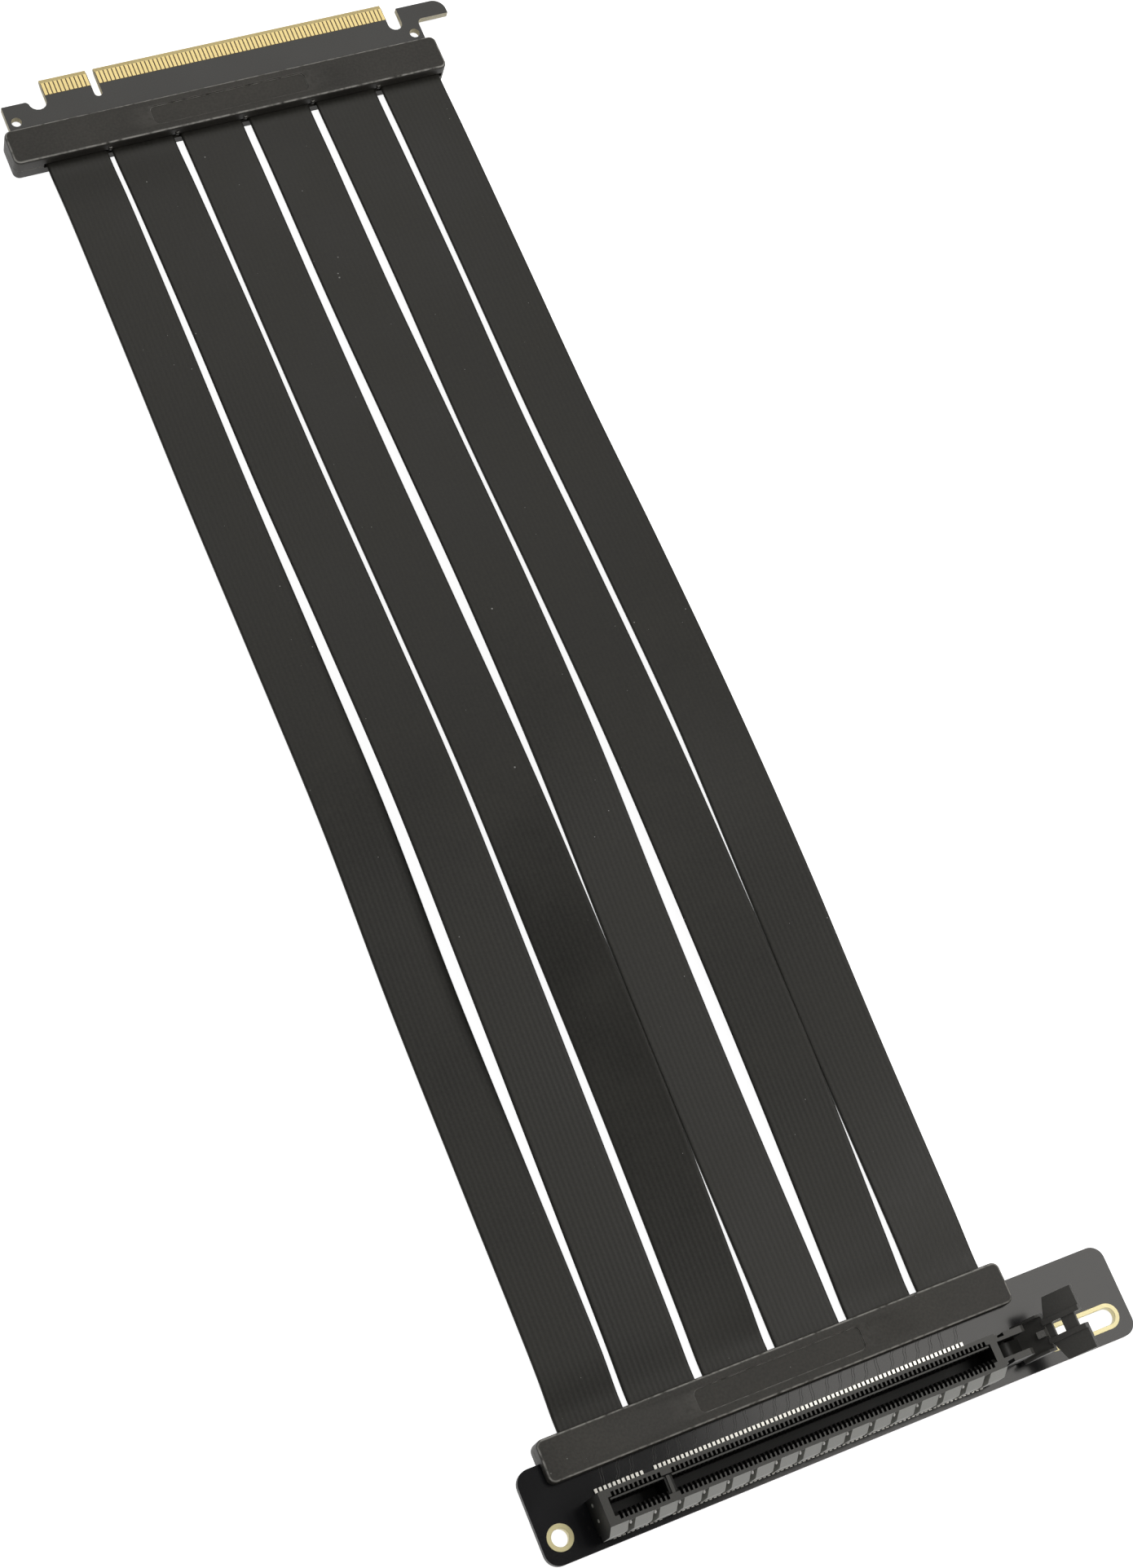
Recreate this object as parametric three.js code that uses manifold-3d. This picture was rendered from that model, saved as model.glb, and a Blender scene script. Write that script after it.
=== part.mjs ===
// Flat ribbon riser for a 16-lane expansion card, in millimetres.
// A socket board and a card-edge board are joined by six flat ribbons, whose roots
// are clamped on each board between a top and a bottom cover.
// X runs along the socket, Y from the socket to the card edge, Z up from the table.
// It is drawn about the middle of the socket's contact rows and set down so that the
// origin is on the table, in the middle of the footprint.
import * as THREE from 'three';
import { mergeGeometries, mergeVertices } from 'three/addons/utils/BufferGeometryUtils.js';
import Module from 'manifold-3d';

// Contact rows, alike in the socket and on the card edge
const CONTACT_PITCH = 1.0;
const SHORT_GROUP = 11;
const LONG_GROUP = 71;
const KEY_STEP = 3.0;

// Boards and covers, stacked on one middle plane
const BOARD_THICKNESS = 1.6;
const COVER_HEIGHT = 6.4;
const COVER_LENGTH = 105.4;
const COVER_DEPTH = 9.0;
const COVER_CORNER = 1.6;
const COVER_EDGE = 0.7;
const RECESS_LENGTH = 37.6;
const RECESS_WIDTH = 4.9;
const RECESS_CORNER = 1.2;
const RECESS_DEPTH = 0.35;
const FIT_GAP = 0.3;
const OVERSHOOT = 1.0;

// Socket board
const SOCKET_BOARD_LEFT = 55.7;
const SOCKET_BOARD_RIGHT = 79.0;
const SOCKET_BOARD_FRONT = 6.1;
const SOCKET_BOARD_BACK = 13.5;
const SOCKET_BOARD_CORNER = 3.0;
const SOCKET_COVER_MIDDLE_X = 2.8;
const BOARD_IN_COVER = 4.8;

// Plated mounting holes of the socket board
const HOLE_RADIUS = 1.8;
const PLATING_WALL = 0.2;
const PLATING_RING = 0.95;
const PLATING_PROUD = 0.1;
const HOLE_Y = -1.0;
const ROUND_HOLE_X = -51.5;
const SLOT_HOLE_LEFT_X = 60.6;
const SLOT_HOLE_RIGHT_X = 73.9;

// Socket housing
const SOCKET_HEIGHT = 11.25;
const SOCKET_END_WALL = 1.6;
const SOCKET_END_CLEARANCE = 1.2;
const SOCKET_HALF_WIDTH = 3.5;
const POCKET_HALF_WIDTH = 1.1;
const POCKET_DEPTH = 8.3;
const LEAD_IN = 0.8;
const KEY_RIB_WIDTH = 1.7;
const KEY_RIB_DROP = 0.3;
const CAVITY_WIDTH = 0.62;
const CAVITY_BACK = 2.75;
const CAVITY_DEPTH = 7.2;
const RIB_COUNT = 17;
const RIB_GAP = 1.43;
const RIB_REACH = 1.5;
const RIB_SLOPE = 3.9;
const RIB_FOOT = 1.6;
const TAIL_WIDTH = 0.6;
const TAIL_HEIGHT = 0.5;
const TAIL_REACH = 1.6;
const PEG_RADIUS = 1.1;
const PEG_LENGTH = 2.2;

// Latch cage and latch at the socket's right end
const ARM_LENGTH = 7.0;
const ARM_INNER = 1.75;
const ARM_OUTER = 3.1;
const ARM_TIP = 1.0;
const CAGE_FLOOR = 0.6;
const CAGE_FLOOR_LENGTH = 9.6;
const PIVOT_FROM_END = 4.0;
const PIVOT_HEIGHT = 3.2;
const PIVOT_RADIUS = 0.95;
const LATCH_OPEN_DEGREES = 36;
const LATCH_CLEARANCE = 0.3;
const PIVOT_CLEARANCE = 0.1;
const HUB_RADIUS = 2.1;
const FOOT_REACH = 1.1;
const FOOT_ROOT_TOP = 1.05;
const FOOT_TIP_TOP = -0.42;
const FOOT_TIP_BOTTOM = -1.68;
const WEB_THICKNESS = 1.0;
const WEB_BOTTOM = 1.3;
const WEB_TOP = 9.2;
const FLANGE_THICKNESS = 0.6;
const FLANGE_REACH = 3.0;
const HOOK_REACH = 2.2;
const HOOK_DEPTH = 2.6;
const HOOK_SLOPE = 1.0;
const WING_INNER = 1.4;
const WING_OUTER = 6.75;
const WING_TOP = 17.4;
const WING_LEAN = 1.6;
const WING_RIM = 1.1;
const WING_RIM_PROUD = 0.5;
const WING_SLANT = 2.4;
const PLATE_SET_IN = 0.2;
const WINDOW_BOTTOM = 10.8;
const BAR_BOTTOM = 13.0;
const BAR_TOP = 15.9;

// Card-edge board
const CARD_EDGE_X = 3.23;
const CARD_EDGE_Y = 342.6;
const TONGUE_MARGIN = 0.5;
const FINGER_WIDTH = 0.72;
const FINGER_LENGTH = 3.2;
const FINGER_PROUD = 0.08;
const BEVEL_LENGTH = 1.2;
const BEVEL_DEPTH = 0.45;
const KEY_NOTCH_WIDTH = 1.9;
const KEY_NOTCH_DEPTH = 7.6;
const SIDE_NOTCH_BOTTOM = 7.7;
const LEFT_NOTCH_WIDTH = 4.2;
const EAR_TOP = 5.1;
const EAR_WIDTH = 6.3;
const EAR_CORNER = 0.9;
const RIGHT_NOTCH_WIDTH = 3.4;
const HOOK_TOP = 2.0;
const HOOK_UNDERSIDE = 6.1;
const HOOK_LENGTH = 11.8;
const HOOK_CORNER = 3.0;
const NECK_WIDTH = 3.9;
const NECK_FILLET = 1.3;
const EAR_HOLE_RADIUS = 1.2;
const EAR_HOLE_FROM_LEFT = 2.1;
const EAR_HOLE_DEPTH = 9.6;
const NECK_HOLE_FROM_RIGHT = 2.0;
const CARD_COVER_MIDDLE_X = 1.1;
const CARD_COVER_BACK = 12.7;
const NUB_WIDTH = 1.0;
const NUB_REACH = 0.5;

// Ribbons
const RIBBON_WIDTH = 15.0;
const RIBBON_THICKNESS = 0.9;
const RIBBON_STRAIGHT = 3.0;
const ARCH_RISE = 8.1;

// Steps in which curves are drawn
const RIBBON_STEPS = 32;
const CURVE_STEPS = 4;
const HOLE_STEPS = 5;
const EDGE_STEPS = 2;

// Each ribbon's middle, in ribbon widths from the middle of the socket cover and of the card
// cover, and its rise above the boards' middle plane, as a share of the highest rise, at eight
// places on the way from cover to cover
const RIBBON_PLACES = [0.041, 0.172, 0.304, 0.436, 0.568, 0.700, 0.832, 0.951];
const RIBBONS = [
  { atSocket: -2.627, atCard: -2.527, rises: [0.04, 0.07, 0.22, 0.58, 0.51, 0.27, 0.20, 0.04] },
  { atSocket: -1.533, atCard: -1.480, rises: [0.06, 0.28, 0.68, 1.00, 0.83, 0.44, 0.25, 0.05] },
  { atSocket: -0.427, atCard: -0.387, rises: [0.06, 0.33, 0.59, 0.79, 0.59, 0.26, 0.10, 0.02] },
  { atSocket: 0.613, atCard: 0.727, rises: [0.04, 0.10, 0.37, 0.84, 0.85, 0.49, 0.15, 0.04] },
  { atSocket: 1.747, atCard: 1.847, rises: [0.07, 0.41, 0.67, 0.79, 0.56, 0.21, 0.10, 0.02] },
  { atSocket: 2.813, atCard: 2.913, rises: [0.04, 0.15, 0.42, 0.74, 0.57, 0.22, 0.10, 0.02] },
];

// Places worked out from the sizes above
const ROW_SPAN = (SHORT_GROUP + LONG_GROUP - 2) * CONTACT_PITCH + KEY_STEP;
const FIRST_CONTACT_X = -ROW_SPAN / 2;
const KEY_X = FIRST_CONTACT_X + (SHORT_GROUP - 1) * CONTACT_PITCH + KEY_STEP / 2;
const MIDDLE_Z = COVER_HEIGHT / 2;
const BOARD_BOTTOM = MIDDLE_Z - BOARD_THICKNESS / 2;
const BOARD_TOP = MIDDLE_Z + BOARD_THICKNESS / 2;
const SOCKET_TOP = BOARD_TOP + SOCKET_HEIGHT;
const POCKET_END_X = ROW_SPAN / 2 + SOCKET_END_CLEARANCE;
const SOCKET_END_X = POCKET_END_X + SOCKET_END_WALL;
const SOCKET_COVER_FRONT = SOCKET_BOARD_BACK - BOARD_IN_COVER;
const SOCKET_COVER_BACK = SOCKET_COVER_FRONT + COVER_DEPTH;
const CARD_COVER_BACK_Y = CARD_EDGE_Y - CARD_COVER_BACK;
const CARD_COVER_FRONT_Y = CARD_COVER_BACK_Y - COVER_DEPTH;
const CARD_BOARD_END_Y = CARD_COVER_BACK_Y - BOARD_IN_COVER;
const TONGUE_LEFT = CARD_EDGE_X - ROW_SPAN / 2 - TONGUE_MARGIN;
const TONGUE_RIGHT = CARD_EDGE_X + ROW_SPAN / 2 + TONGUE_MARGIN;
const EAR_RIGHT = TONGUE_LEFT - LEFT_NOTCH_WIDTH;
const EAR_LEFT = EAR_RIGHT - EAR_WIDTH;
const HOOK_LEFT = TONGUE_RIGHT + RIGHT_NOTCH_WIDTH;
const NECK_RIGHT = HOOK_LEFT + NECK_WIDTH;
const PIVOT_X = SOCKET_END_X + PIVOT_FROM_END;
const PIVOT_Z = BOARD_TOP + PIVOT_HEIGHT;
const socketX = (one) => SOCKET_COVER_MIDDLE_X + one.atSocket * RIBBON_WIDTH;
const cardX = (one) => CARD_COVER_MIDDLE_X + one.atCard * RIBBON_WIDTH;

const material = (color, roughness, metalness = 0) =>
  new THREE.MeshStandardMaterial({ color, roughness, metalness });
const BOARD_FINISH = { color: 0x1c1c1e, roughness: 0.35 };
const COVER_FINISH = { color: 0x3c3b38, roughness: 0.6 };
const RIBBON_FINISH = { color: 0x33322f, roughness: 0.55 };
const SOCKET_FINISH = { color: 0x5a5955, roughness: 0.5 };
const LATCH_FINISH = { color: 0x4c4b47, roughness: 0.55 };
const PLATING_FINISH = { color: 0xe8d68a, roughness: 0.3, metalness: 1 };

const wasm = await Module();
wasm.setup();

// A closed geometry as a solid that can be joined and cut
function solid(geometry) {
  const bare = geometry.clone();
  bare.deleteAttribute('normal');
  bare.deleteAttribute('uv');
  const merged = mergeVertices(bare, 1e-5);
  return new wasm.Manifold(new wasm.Mesh({
    numProp: 3,
    vertProperties: new Float32Array(merged.attributes.position.array),
    triVerts: new Uint32Array(merged.index.array),
  }));
}

function geometryOf(body) {
  const mesh = body.getMesh();
  const geometry = new THREE.BufferGeometry();
  geometry.setAttribute('position', new THREE.BufferAttribute(mesh.vertProperties, 3));
  geometry.setIndex(new THREE.BufferAttribute(mesh.triVerts, 1));
  geometry.computeVertexNormals();
  return geometry;
}

function boxGeometry([x0, x1], [y0, y1], [z0, z1]) {
  const geometry = new THREE.BoxGeometry(x1 - x0, y1 - y0, z1 - z0);
  return geometry.translate((x0 + x1) / 2, (y0 + y1) / 2, (z0 + z1) / 2);
}

const box = (x, y, z) => solid(boxGeometry(x, y, z));

// Boxes that lie clear of each other, as one solid
const boxes = (list) => solid(mergeGeometries(list.map((sides) => boxGeometry(...sides))));

// An outline carried along Z
function prismZ(outline, [z0, z1], curveSegments = CURVE_STEPS) {
  const options = { depth: z1 - z0, bevelEnabled: false, curveSegments };
  return solid(new THREE.ExtrudeGeometry(outline, options).translate(0, 0, z0));
}

// An outline drawn in Y and Z, carried along X
function prismX(outline, [x0, x1], curveSegments = CURVE_STEPS) {
  const options = { depth: x1 - x0, bevelEnabled: false, curveSegments };
  const turn = new THREE.Matrix4().makeBasis(
    new THREE.Vector3(0, 1, 0), new THREE.Vector3(0, 0, 1), new THREE.Vector3(1, 0, 0));
  return solid(new THREE.ExtrudeGeometry(outline, options).applyMatrix4(turn).translate(x0, 0, 0));
}

// An outline drawn in X and Z, carried along Y
function prismY(outline, [y0, y1], curveSegments = CURVE_STEPS) {
  const options = { depth: y1 - y0, bevelEnabled: false, curveSegments };
  const turn = new THREE.Matrix4().makeBasis(
    new THREE.Vector3(1, 0, 0), new THREE.Vector3(0, 0, 1), new THREE.Vector3(0, -1, 0));
  return solid(new THREE.ExtrudeGeometry(outline, options).applyMatrix4(turn).translate(0, y1, 0));
}

const polygon = (...points) => new THREE.Shape(points.map(([u, v]) => new THREE.Vector2(u, v)));

function roundedRectangle([x0, x1], [y0, y1], radius) {
  const shape = new THREE.Shape();
  shape.absarc(x1 - radius, y0 + radius, radius, -Math.PI / 2, 0, false);
  shape.absarc(x1 - radius, y1 - radius, radius, 0, Math.PI / 2, false);
  shape.absarc(x0 + radius, y1 - radius, radius, Math.PI / 2, Math.PI, false);
  shape.absarc(x0 + radius, y0 + radius, radius, Math.PI, Math.PI * 1.5, false);
  shape.closePath();
  return shape;
}

// A stadium outline; it is a circle where both ends are at one place
function stadium(leftX, rightX, y, radius) {
  const shape = new THREE.Shape();
  shape.absarc(rightX, y, radius, -Math.PI / 2, Math.PI / 2, false);
  shape.absarc(leftX, y, radius, Math.PI / 2, Math.PI * 1.5, false);
  shape.closePath();
  return shape;
}

// Contact places along the row, with the step over the key
function contactPlaces(middleX) {
  const places = [];
  for (let i = 0; i < SHORT_GROUP + LONG_GROUP; i++) {
    const step = i < SHORT_GROUP ? 0 : KEY_STEP - CONTACT_PITCH;
    places.push(middleX + FIRST_CONTACT_X + i * CONTACT_PITCH + step);
  }
  return places;
}

function socketBoard() {
  const outline = roundedRectangle([-SOCKET_BOARD_LEFT, SOCKET_BOARD_RIGHT],
    [-SOCKET_BOARD_FRONT, SOCKET_BOARD_BACK], SOCKET_BOARD_CORNER);
  const drill = HOLE_RADIUS + PLATING_WALL + FIT_GAP;
  outline.holes.push(stadium(ROUND_HOLE_X, ROUND_HOLE_X, HOLE_Y, drill));
  outline.holes.push(stadium(SLOT_HOLE_LEFT_X, SLOT_HOLE_RIGHT_X, HOLE_Y, drill));
  for (const x of pegPlaces()) {
    outline.holes.push(stadium(x, x, 0, PEG_RADIUS + FIT_GAP));
  }
  return prismZ(outline, [BOARD_BOTTOM, BOARD_TOP]);
}

// A plated hole: a barrel through the board with a ring on each face
function plating(leftX, rightX) {
  const barrelHeight = [BOARD_BOTTOM - PLATING_PROUD, BOARD_TOP + PLATING_PROUD];
  const bore = prismZ(stadium(leftX, rightX, HOLE_Y, HOLE_RADIUS), [0, COVER_HEIGHT], HOLE_STEPS);
  const barrel = prismZ(stadium(leftX, rightX, HOLE_Y, HOLE_RADIUS + PLATING_WALL), barrelHeight, HOLE_STEPS);
  const ringOutline = stadium(leftX, rightX, HOLE_Y, HOLE_RADIUS + PLATING_RING);
  const topRing = prismZ(ringOutline, [BOARD_TOP, BOARD_TOP + PLATING_PROUD], HOLE_STEPS);
  const bottomRing = prismZ(ringOutline, [BOARD_BOTTOM - PLATING_PROUD, BOARD_BOTTOM], HOLE_STEPS);
  return barrel.add(topRing).add(bottomRing).subtract(bore);
}

// The locating pegs stand under the key rib and under the right end of the rows
const pegPlaces = () => [KEY_X, ROW_SPAN / 2];

// The card pocket with its sloped lead-in, from one end to the other
function pocket(x) {
  const floor = SOCKET_TOP - POCKET_DEPTH;
  const slopeStart = SOCKET_TOP - LEAD_IN;
  const mouth = POCKET_HALF_WIDTH + LEAD_IN;
  const above = SOCKET_TOP + OVERSHOOT;
  return prismX(polygon([-POCKET_HALF_WIDTH, floor], [POCKET_HALF_WIDTH, floor],
    [POCKET_HALF_WIDTH, slopeStart], [mouth, SOCKET_TOP], [mouth, above],
    [-mouth, above], [-mouth, SOCKET_TOP], [-POCKET_HALF_WIDTH, slopeStart]), x);
}

// Contact cavities of both rows, open to the pocket
function cavities() {
  const height = [SOCKET_TOP - CAVITY_DEPTH, SOCKET_TOP + OVERSHOOT];
  const list = [];
  for (const x of contactPlaces(0)) {
    const across = [x - CAVITY_WIDTH / 2, x + CAVITY_WIDTH / 2];
    list.push([across, [0, CAVITY_BACK], height]);
    list.push([across, [-CAVITY_BACK, 0], height]);
  }
  const rows = boxes(list.filter((sides) => sides[1][0] === 0));
  return rows.add(boxes(list.filter((sides) => sides[1][0] !== 0)));
}

// The key rib stands in the pocket, a little below the top
function keyRib() {
  return box([KEY_X - KEY_RIB_WIDTH / 2, KEY_X + KEY_RIB_WIDTH / 2],
    [-CAVITY_BACK, CAVITY_BACK], [BOARD_TOP + CAGE_FLOOR, SOCKET_TOP - KEY_RIB_DROP]);
}

// Sloped ribs along the front wall, over the front row of solder tails
function frontRibs() {
  const pitch = (2 * SOCKET_END_X + RIB_GAP) / RIB_COUNT;
  const outer = -SOCKET_HALF_WIDTH - RIB_REACH;
  const foot = BOARD_TOP + RIB_FOOT;
  const outline = polygon([outer, foot], [-SOCKET_HALF_WIDTH, foot],
    [-SOCKET_HALF_WIDTH, SOCKET_TOP], [outer, SOCKET_TOP - RIB_SLOPE]);
  let ribs = null;
  for (let i = 0; i < RIB_COUNT; i++) {
    const left = -SOCKET_END_X + i * pitch;
    const rib = prismX(outline, [left, left + pitch - RIB_GAP]);
    ribs = ribs ? ribs.add(rib) : rib;
  }
  return ribs;
}

// Solder tails of both rows, which lie on the board
function solderTails() {
  const height = [BOARD_TOP, BOARD_TOP + TAIL_HEIGHT];
  const outer = SOCKET_HALF_WIDTH + TAIL_REACH;
  const list = [];
  for (const x of contactPlaces(0)) {
    const across = [x - TAIL_WIDTH / 2, x + TAIL_WIDTH / 2];
    list.push([across, [SOCKET_HALF_WIDTH - TAIL_HEIGHT, outer], height]);
    list.push([across, [-outer, -SOCKET_HALF_WIDTH + TAIL_HEIGHT], height]);
  }
  return boxes(list);
}

// Two arms and a floor that carry the latch, with a round seat in each arm
function latchCage() {
  const armEnd = SOCKET_END_X + ARM_LENGTH;
  const arm = polygon([SOCKET_END_X - SOCKET_END_WALL / 2, BOARD_TOP], [armEnd, BOARD_TOP],
    [armEnd, SOCKET_TOP - ARM_TIP], [armEnd - ARM_TIP, SOCKET_TOP],
    [SOCKET_END_X - SOCKET_END_WALL / 2, SOCKET_TOP]);
  const arms = prismY(arm, [ARM_INNER, ARM_OUTER]).add(prismY(arm, [-ARM_OUTER, -ARM_INNER]));
  const floor = box([SOCKET_END_X - SOCKET_END_WALL / 2, SOCKET_END_X + CAGE_FLOOR_LENGTH],
    [-ARM_OUTER, ARM_OUTER], [BOARD_TOP, BOARD_TOP + CAGE_FLOOR]);
  const seat = stadium(PIVOT_X, PIVOT_X, PIVOT_Z, PIVOT_RADIUS + PIVOT_CLEARANCE);
  const notch = [SOCKET_END_X + ARM_TIP / 2, SOCKET_END_X + ARM_TIP * 2];
  const notchHeight = [SOCKET_TOP - SOCKET_HEIGHT / 2, SOCKET_TOP + OVERSHOOT];
  const beyond = SOCKET_HALF_WIDTH + OVERSHOOT;
  const notchMiddle = (ARM_INNER + ARM_OUTER) / 2;
  return arms.add(floor)
    .subtract(prismY(seat, [-beyond, beyond]))
    .subtract(box(notch, [notchMiddle, beyond], notchHeight))
    .subtract(box(notch, [-beyond, -notchMiddle], notchHeight));
}

function socketHousing() {
  const body = box([-SOCKET_END_X, SOCKET_END_X], [-SOCKET_HALF_WIDTH, SOCKET_HALF_WIDTH],
    [BOARD_TOP, SOCKET_TOP]);
  let housing = body.subtract(pocket([-POCKET_END_X, POCKET_END_X])).subtract(cavities());
  housing = housing.add(keyRib()).add(frontRibs());
  for (const x of pegPlaces()) {
    const peg = stadium(x, x, 0, PEG_RADIUS);
    housing = housing.add(prismZ(peg, [BOARD_TOP - PEG_LENGTH, BOARD_TOP + CAGE_FLOOR], EDGE_STEPS));
  }
  return housing.add(solderTails()).add(latchCage());
}

const webInner = () => ARM_LENGTH - PIVOT_FROM_END + LATCH_CLEARANCE;
const webOuter = () => webInner() + WEB_THICKNESS;

// A plate in side view, leaning outward towards its top; its faces are set in by inner and outer
function plateOutline(bottom, top, inner, outer) {
  const lean = (z) => WING_LEAN * ((z - WEB_TOP) / (WING_TOP - WEB_TOP)) ** 2;
  const middle = (bottom + top) / 2;
  const control = 2 * lean(middle) - (lean(bottom) + lean(top)) / 2;
  const near = webInner() + inner;
  const far = webOuter() - outer;
  const shape = new THREE.Shape();
  shape.moveTo(near + lean(bottom), bottom);
  shape.quadraticCurveTo(near + control, middle, near + lean(top), top);
  shape.lineTo(far + lean(top), top);
  shape.quadraticCurveTo(far + control, middle, far + lean(bottom), bottom);
  shape.closePath();
  return shape;
}

// Both finger plates, with a thicker rim along the slit between them and a bar across it
function fingerPlates() {
  const rimOuter = WING_INNER + WING_RIM;
  const below = WEB_TOP - OVERSHOOT;
  const slant = polygon([rimOuter, below], [WING_OUTER + OVERSHOOT, below],
    [WING_OUTER + OVERSHOOT, WEB_TOP + WING_SLANT], [rimOuter, WEB_TOP + PLATE_SET_IN]);
  const reach = [webInner() - FLANGE_REACH, webOuter() + FLANGE_REACH];
  const face = prismY(plateOutline(WEB_TOP - PLATE_SET_IN, WING_TOP, 0, 0),
    [WING_INNER, WING_OUTER]);
  const rim = prismY(plateOutline(WEB_TOP - PLATE_SET_IN, WING_TOP, -WING_RIM_PROUD, 0),
    [WING_INNER, rimOuter]);
  const wing = face.subtract(prismX(slant, reach)).add(rim);
  const across = [-WING_INNER - PLATE_SET_IN, WING_INNER + PLATE_SET_IN];
  const bar = prismY(plateOutline(BAR_BOTTOM, BAR_TOP, PLATE_SET_IN, PLATE_SET_IN), across);
  const root = prismY(plateOutline(WEB_TOP - PLATE_SET_IN, WINDOW_BOTTOM, PLATE_SET_IN,
    PLATE_SET_IN), across);
  return wing.add(wing.mirror([0, 1, 0])).add(bar).add(root);
}

// The latch is drawn in its closed place about its pivot, then swung open
function latch() {
  const hubHalf = ARM_INNER - LATCH_CLEARANCE;
  const flangeInner = ARM_OUTER + LATCH_CLEARANCE;
  const flangeOuter = flangeInner + FLANGE_THICKNESS;
  const hub = prismY(stadium(0, 0, 0, HUB_RADIUS), [-hubHalf, hubHalf]);
  const pin = prismY(stadium(0, 0, 0, PIVOT_RADIUS), [-ARM_OUTER, ARM_OUTER]);
  const footTip = -HUB_RADIUS - FOOT_REACH;
  const foot = prismY(polygon([footTip, FOOT_TIP_BOTTOM], [0, -HUB_RADIUS], [0, FOOT_ROOT_TOP],
    [footTip, FOOT_TIP_TOP]), [-hubHalf, hubHalf]);
  const bridge = box([0, webOuter()], [-hubHalf, hubHalf], [LATCH_CLEARANCE, HUB_RADIUS]);
  const web = box([webInner(), webOuter()], [-flangeOuter, flangeOuter], [WEB_BOTTOM, WEB_TOP]);
  const flangeShape = polygon([webInner(), WEB_BOTTOM], [webOuter(), WEB_BOTTOM],
    [webOuter(), WEB_TOP], [webOuter() - FLANGE_REACH, WEB_TOP],
    [webOuter() - FLANGE_REACH, WEB_TOP - FLANGE_REACH]);
  const flange = prismY(flangeShape, [flangeInner, flangeOuter]);
  const hook = prismY(polygon([webInner() - HOOK_REACH, WEB_TOP - HOOK_DEPTH / 2],
    [webInner(), WEB_TOP - HOOK_DEPTH], [webInner(), WEB_TOP], [webInner() - HOOK_SLOPE, WEB_TOP]),
  [-hubHalf / 2, hubHalf / 2]);
  const body = hub.add(pin).add(foot).add(bridge).add(web).add(hook)
    .add(flange).add(flange.mirror([0, 1, 0])).add(fingerPlates());
  const geometry = geometryOf(body);
  geometry.rotateY(THREE.MathUtils.degToRad(LATCH_OPEN_DEGREES));
  return geometry.translate(PIVOT_X, 0, PIVOT_Z);
}

// Outline of the card-edge board: ear, tongue with its key notch, and hold-down hook
function cardBoardOutline() {
  const down = (depth) => CARD_EDGE_Y - depth;
  const leftRadius = LEFT_NOTCH_WIDTH / 2;
  const rightRadius = RIGHT_NOTCH_WIDTH / 2;
  const keyRadius = KEY_NOTCH_WIDTH / 2;
  const keyX = CARD_EDGE_X + KEY_X;
  const shape = new THREE.Shape();
  shape.moveTo(EAR_LEFT, CARD_BOARD_END_Y);
  shape.lineTo(NECK_RIGHT, CARD_BOARD_END_Y);
  shape.absarc(NECK_RIGHT + NECK_FILLET, down(HOOK_UNDERSIDE) - NECK_FILLET, NECK_FILLET,
    Math.PI, Math.PI / 2, true);
  shape.lineTo(HOOK_LEFT + HOOK_LENGTH, down(HOOK_UNDERSIDE));
  shape.absarc(HOOK_LEFT + HOOK_LENGTH - HOOK_CORNER, down(HOOK_TOP) - HOOK_CORNER, HOOK_CORNER,
    0, Math.PI / 2, false);
  shape.lineTo(HOOK_LEFT, down(HOOK_TOP));
  shape.absarc(TONGUE_RIGHT + rightRadius, down(SIDE_NOTCH_BOTTOM) + rightRadius, rightRadius,
    0, Math.PI, true);
  shape.lineTo(TONGUE_RIGHT, CARD_EDGE_Y);
  shape.lineTo(keyX + keyRadius, CARD_EDGE_Y);
  shape.absarc(keyX, down(KEY_NOTCH_DEPTH) + keyRadius, keyRadius, 0, Math.PI, true);
  shape.lineTo(keyX - keyRadius, CARD_EDGE_Y);
  shape.lineTo(TONGUE_LEFT, CARD_EDGE_Y);
  shape.absarc(TONGUE_LEFT - leftRadius, down(SIDE_NOTCH_BOTTOM) + leftRadius, leftRadius,
    0, Math.PI, true);
  shape.absarc(EAR_RIGHT - EAR_CORNER, down(EAR_TOP) - EAR_CORNER, EAR_CORNER, 0, Math.PI / 2, false);
  shape.lineTo(EAR_LEFT, down(EAR_TOP));
  shape.closePath();
  const earHoleX = EAR_LEFT + EAR_HOLE_FROM_LEFT;
  const neckHoleX = NECK_RIGHT - NECK_HOLE_FROM_RIGHT;
  shape.holes.push(stadium(earHoleX, earHoleX, down(EAR_HOLE_DEPTH), EAR_HOLE_RADIUS));
  shape.holes.push(stadium(neckHoleX, neckHoleX, down(EAR_HOLE_DEPTH), EAR_HOLE_RADIUS));
  return shape;
}

// The leading edge is bevelled on both faces
function bevelCuts() {
  const start = CARD_EDGE_Y - BEVEL_LENGTH;
  const beyond = CARD_EDGE_Y + BEVEL_LENGTH;
  const wide = [TONGUE_LEFT - OVERSHOOT, TONGUE_RIGHT + OVERSHOOT];
  const top = polygon([start, BOARD_TOP], [beyond, BOARD_TOP - 2 * BEVEL_DEPTH],
    [beyond, BOARD_TOP + OVERSHOOT], [start, BOARD_TOP + OVERSHOOT]);
  const bottom = polygon([start, BOARD_BOTTOM], [start, BOARD_BOTTOM - OVERSHOOT],
    [beyond, BOARD_BOTTOM - OVERSHOOT], [beyond, BOARD_BOTTOM + 2 * BEVEL_DEPTH]);
  return prismX(top, wide).add(prismX(bottom, wide));
}

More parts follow.
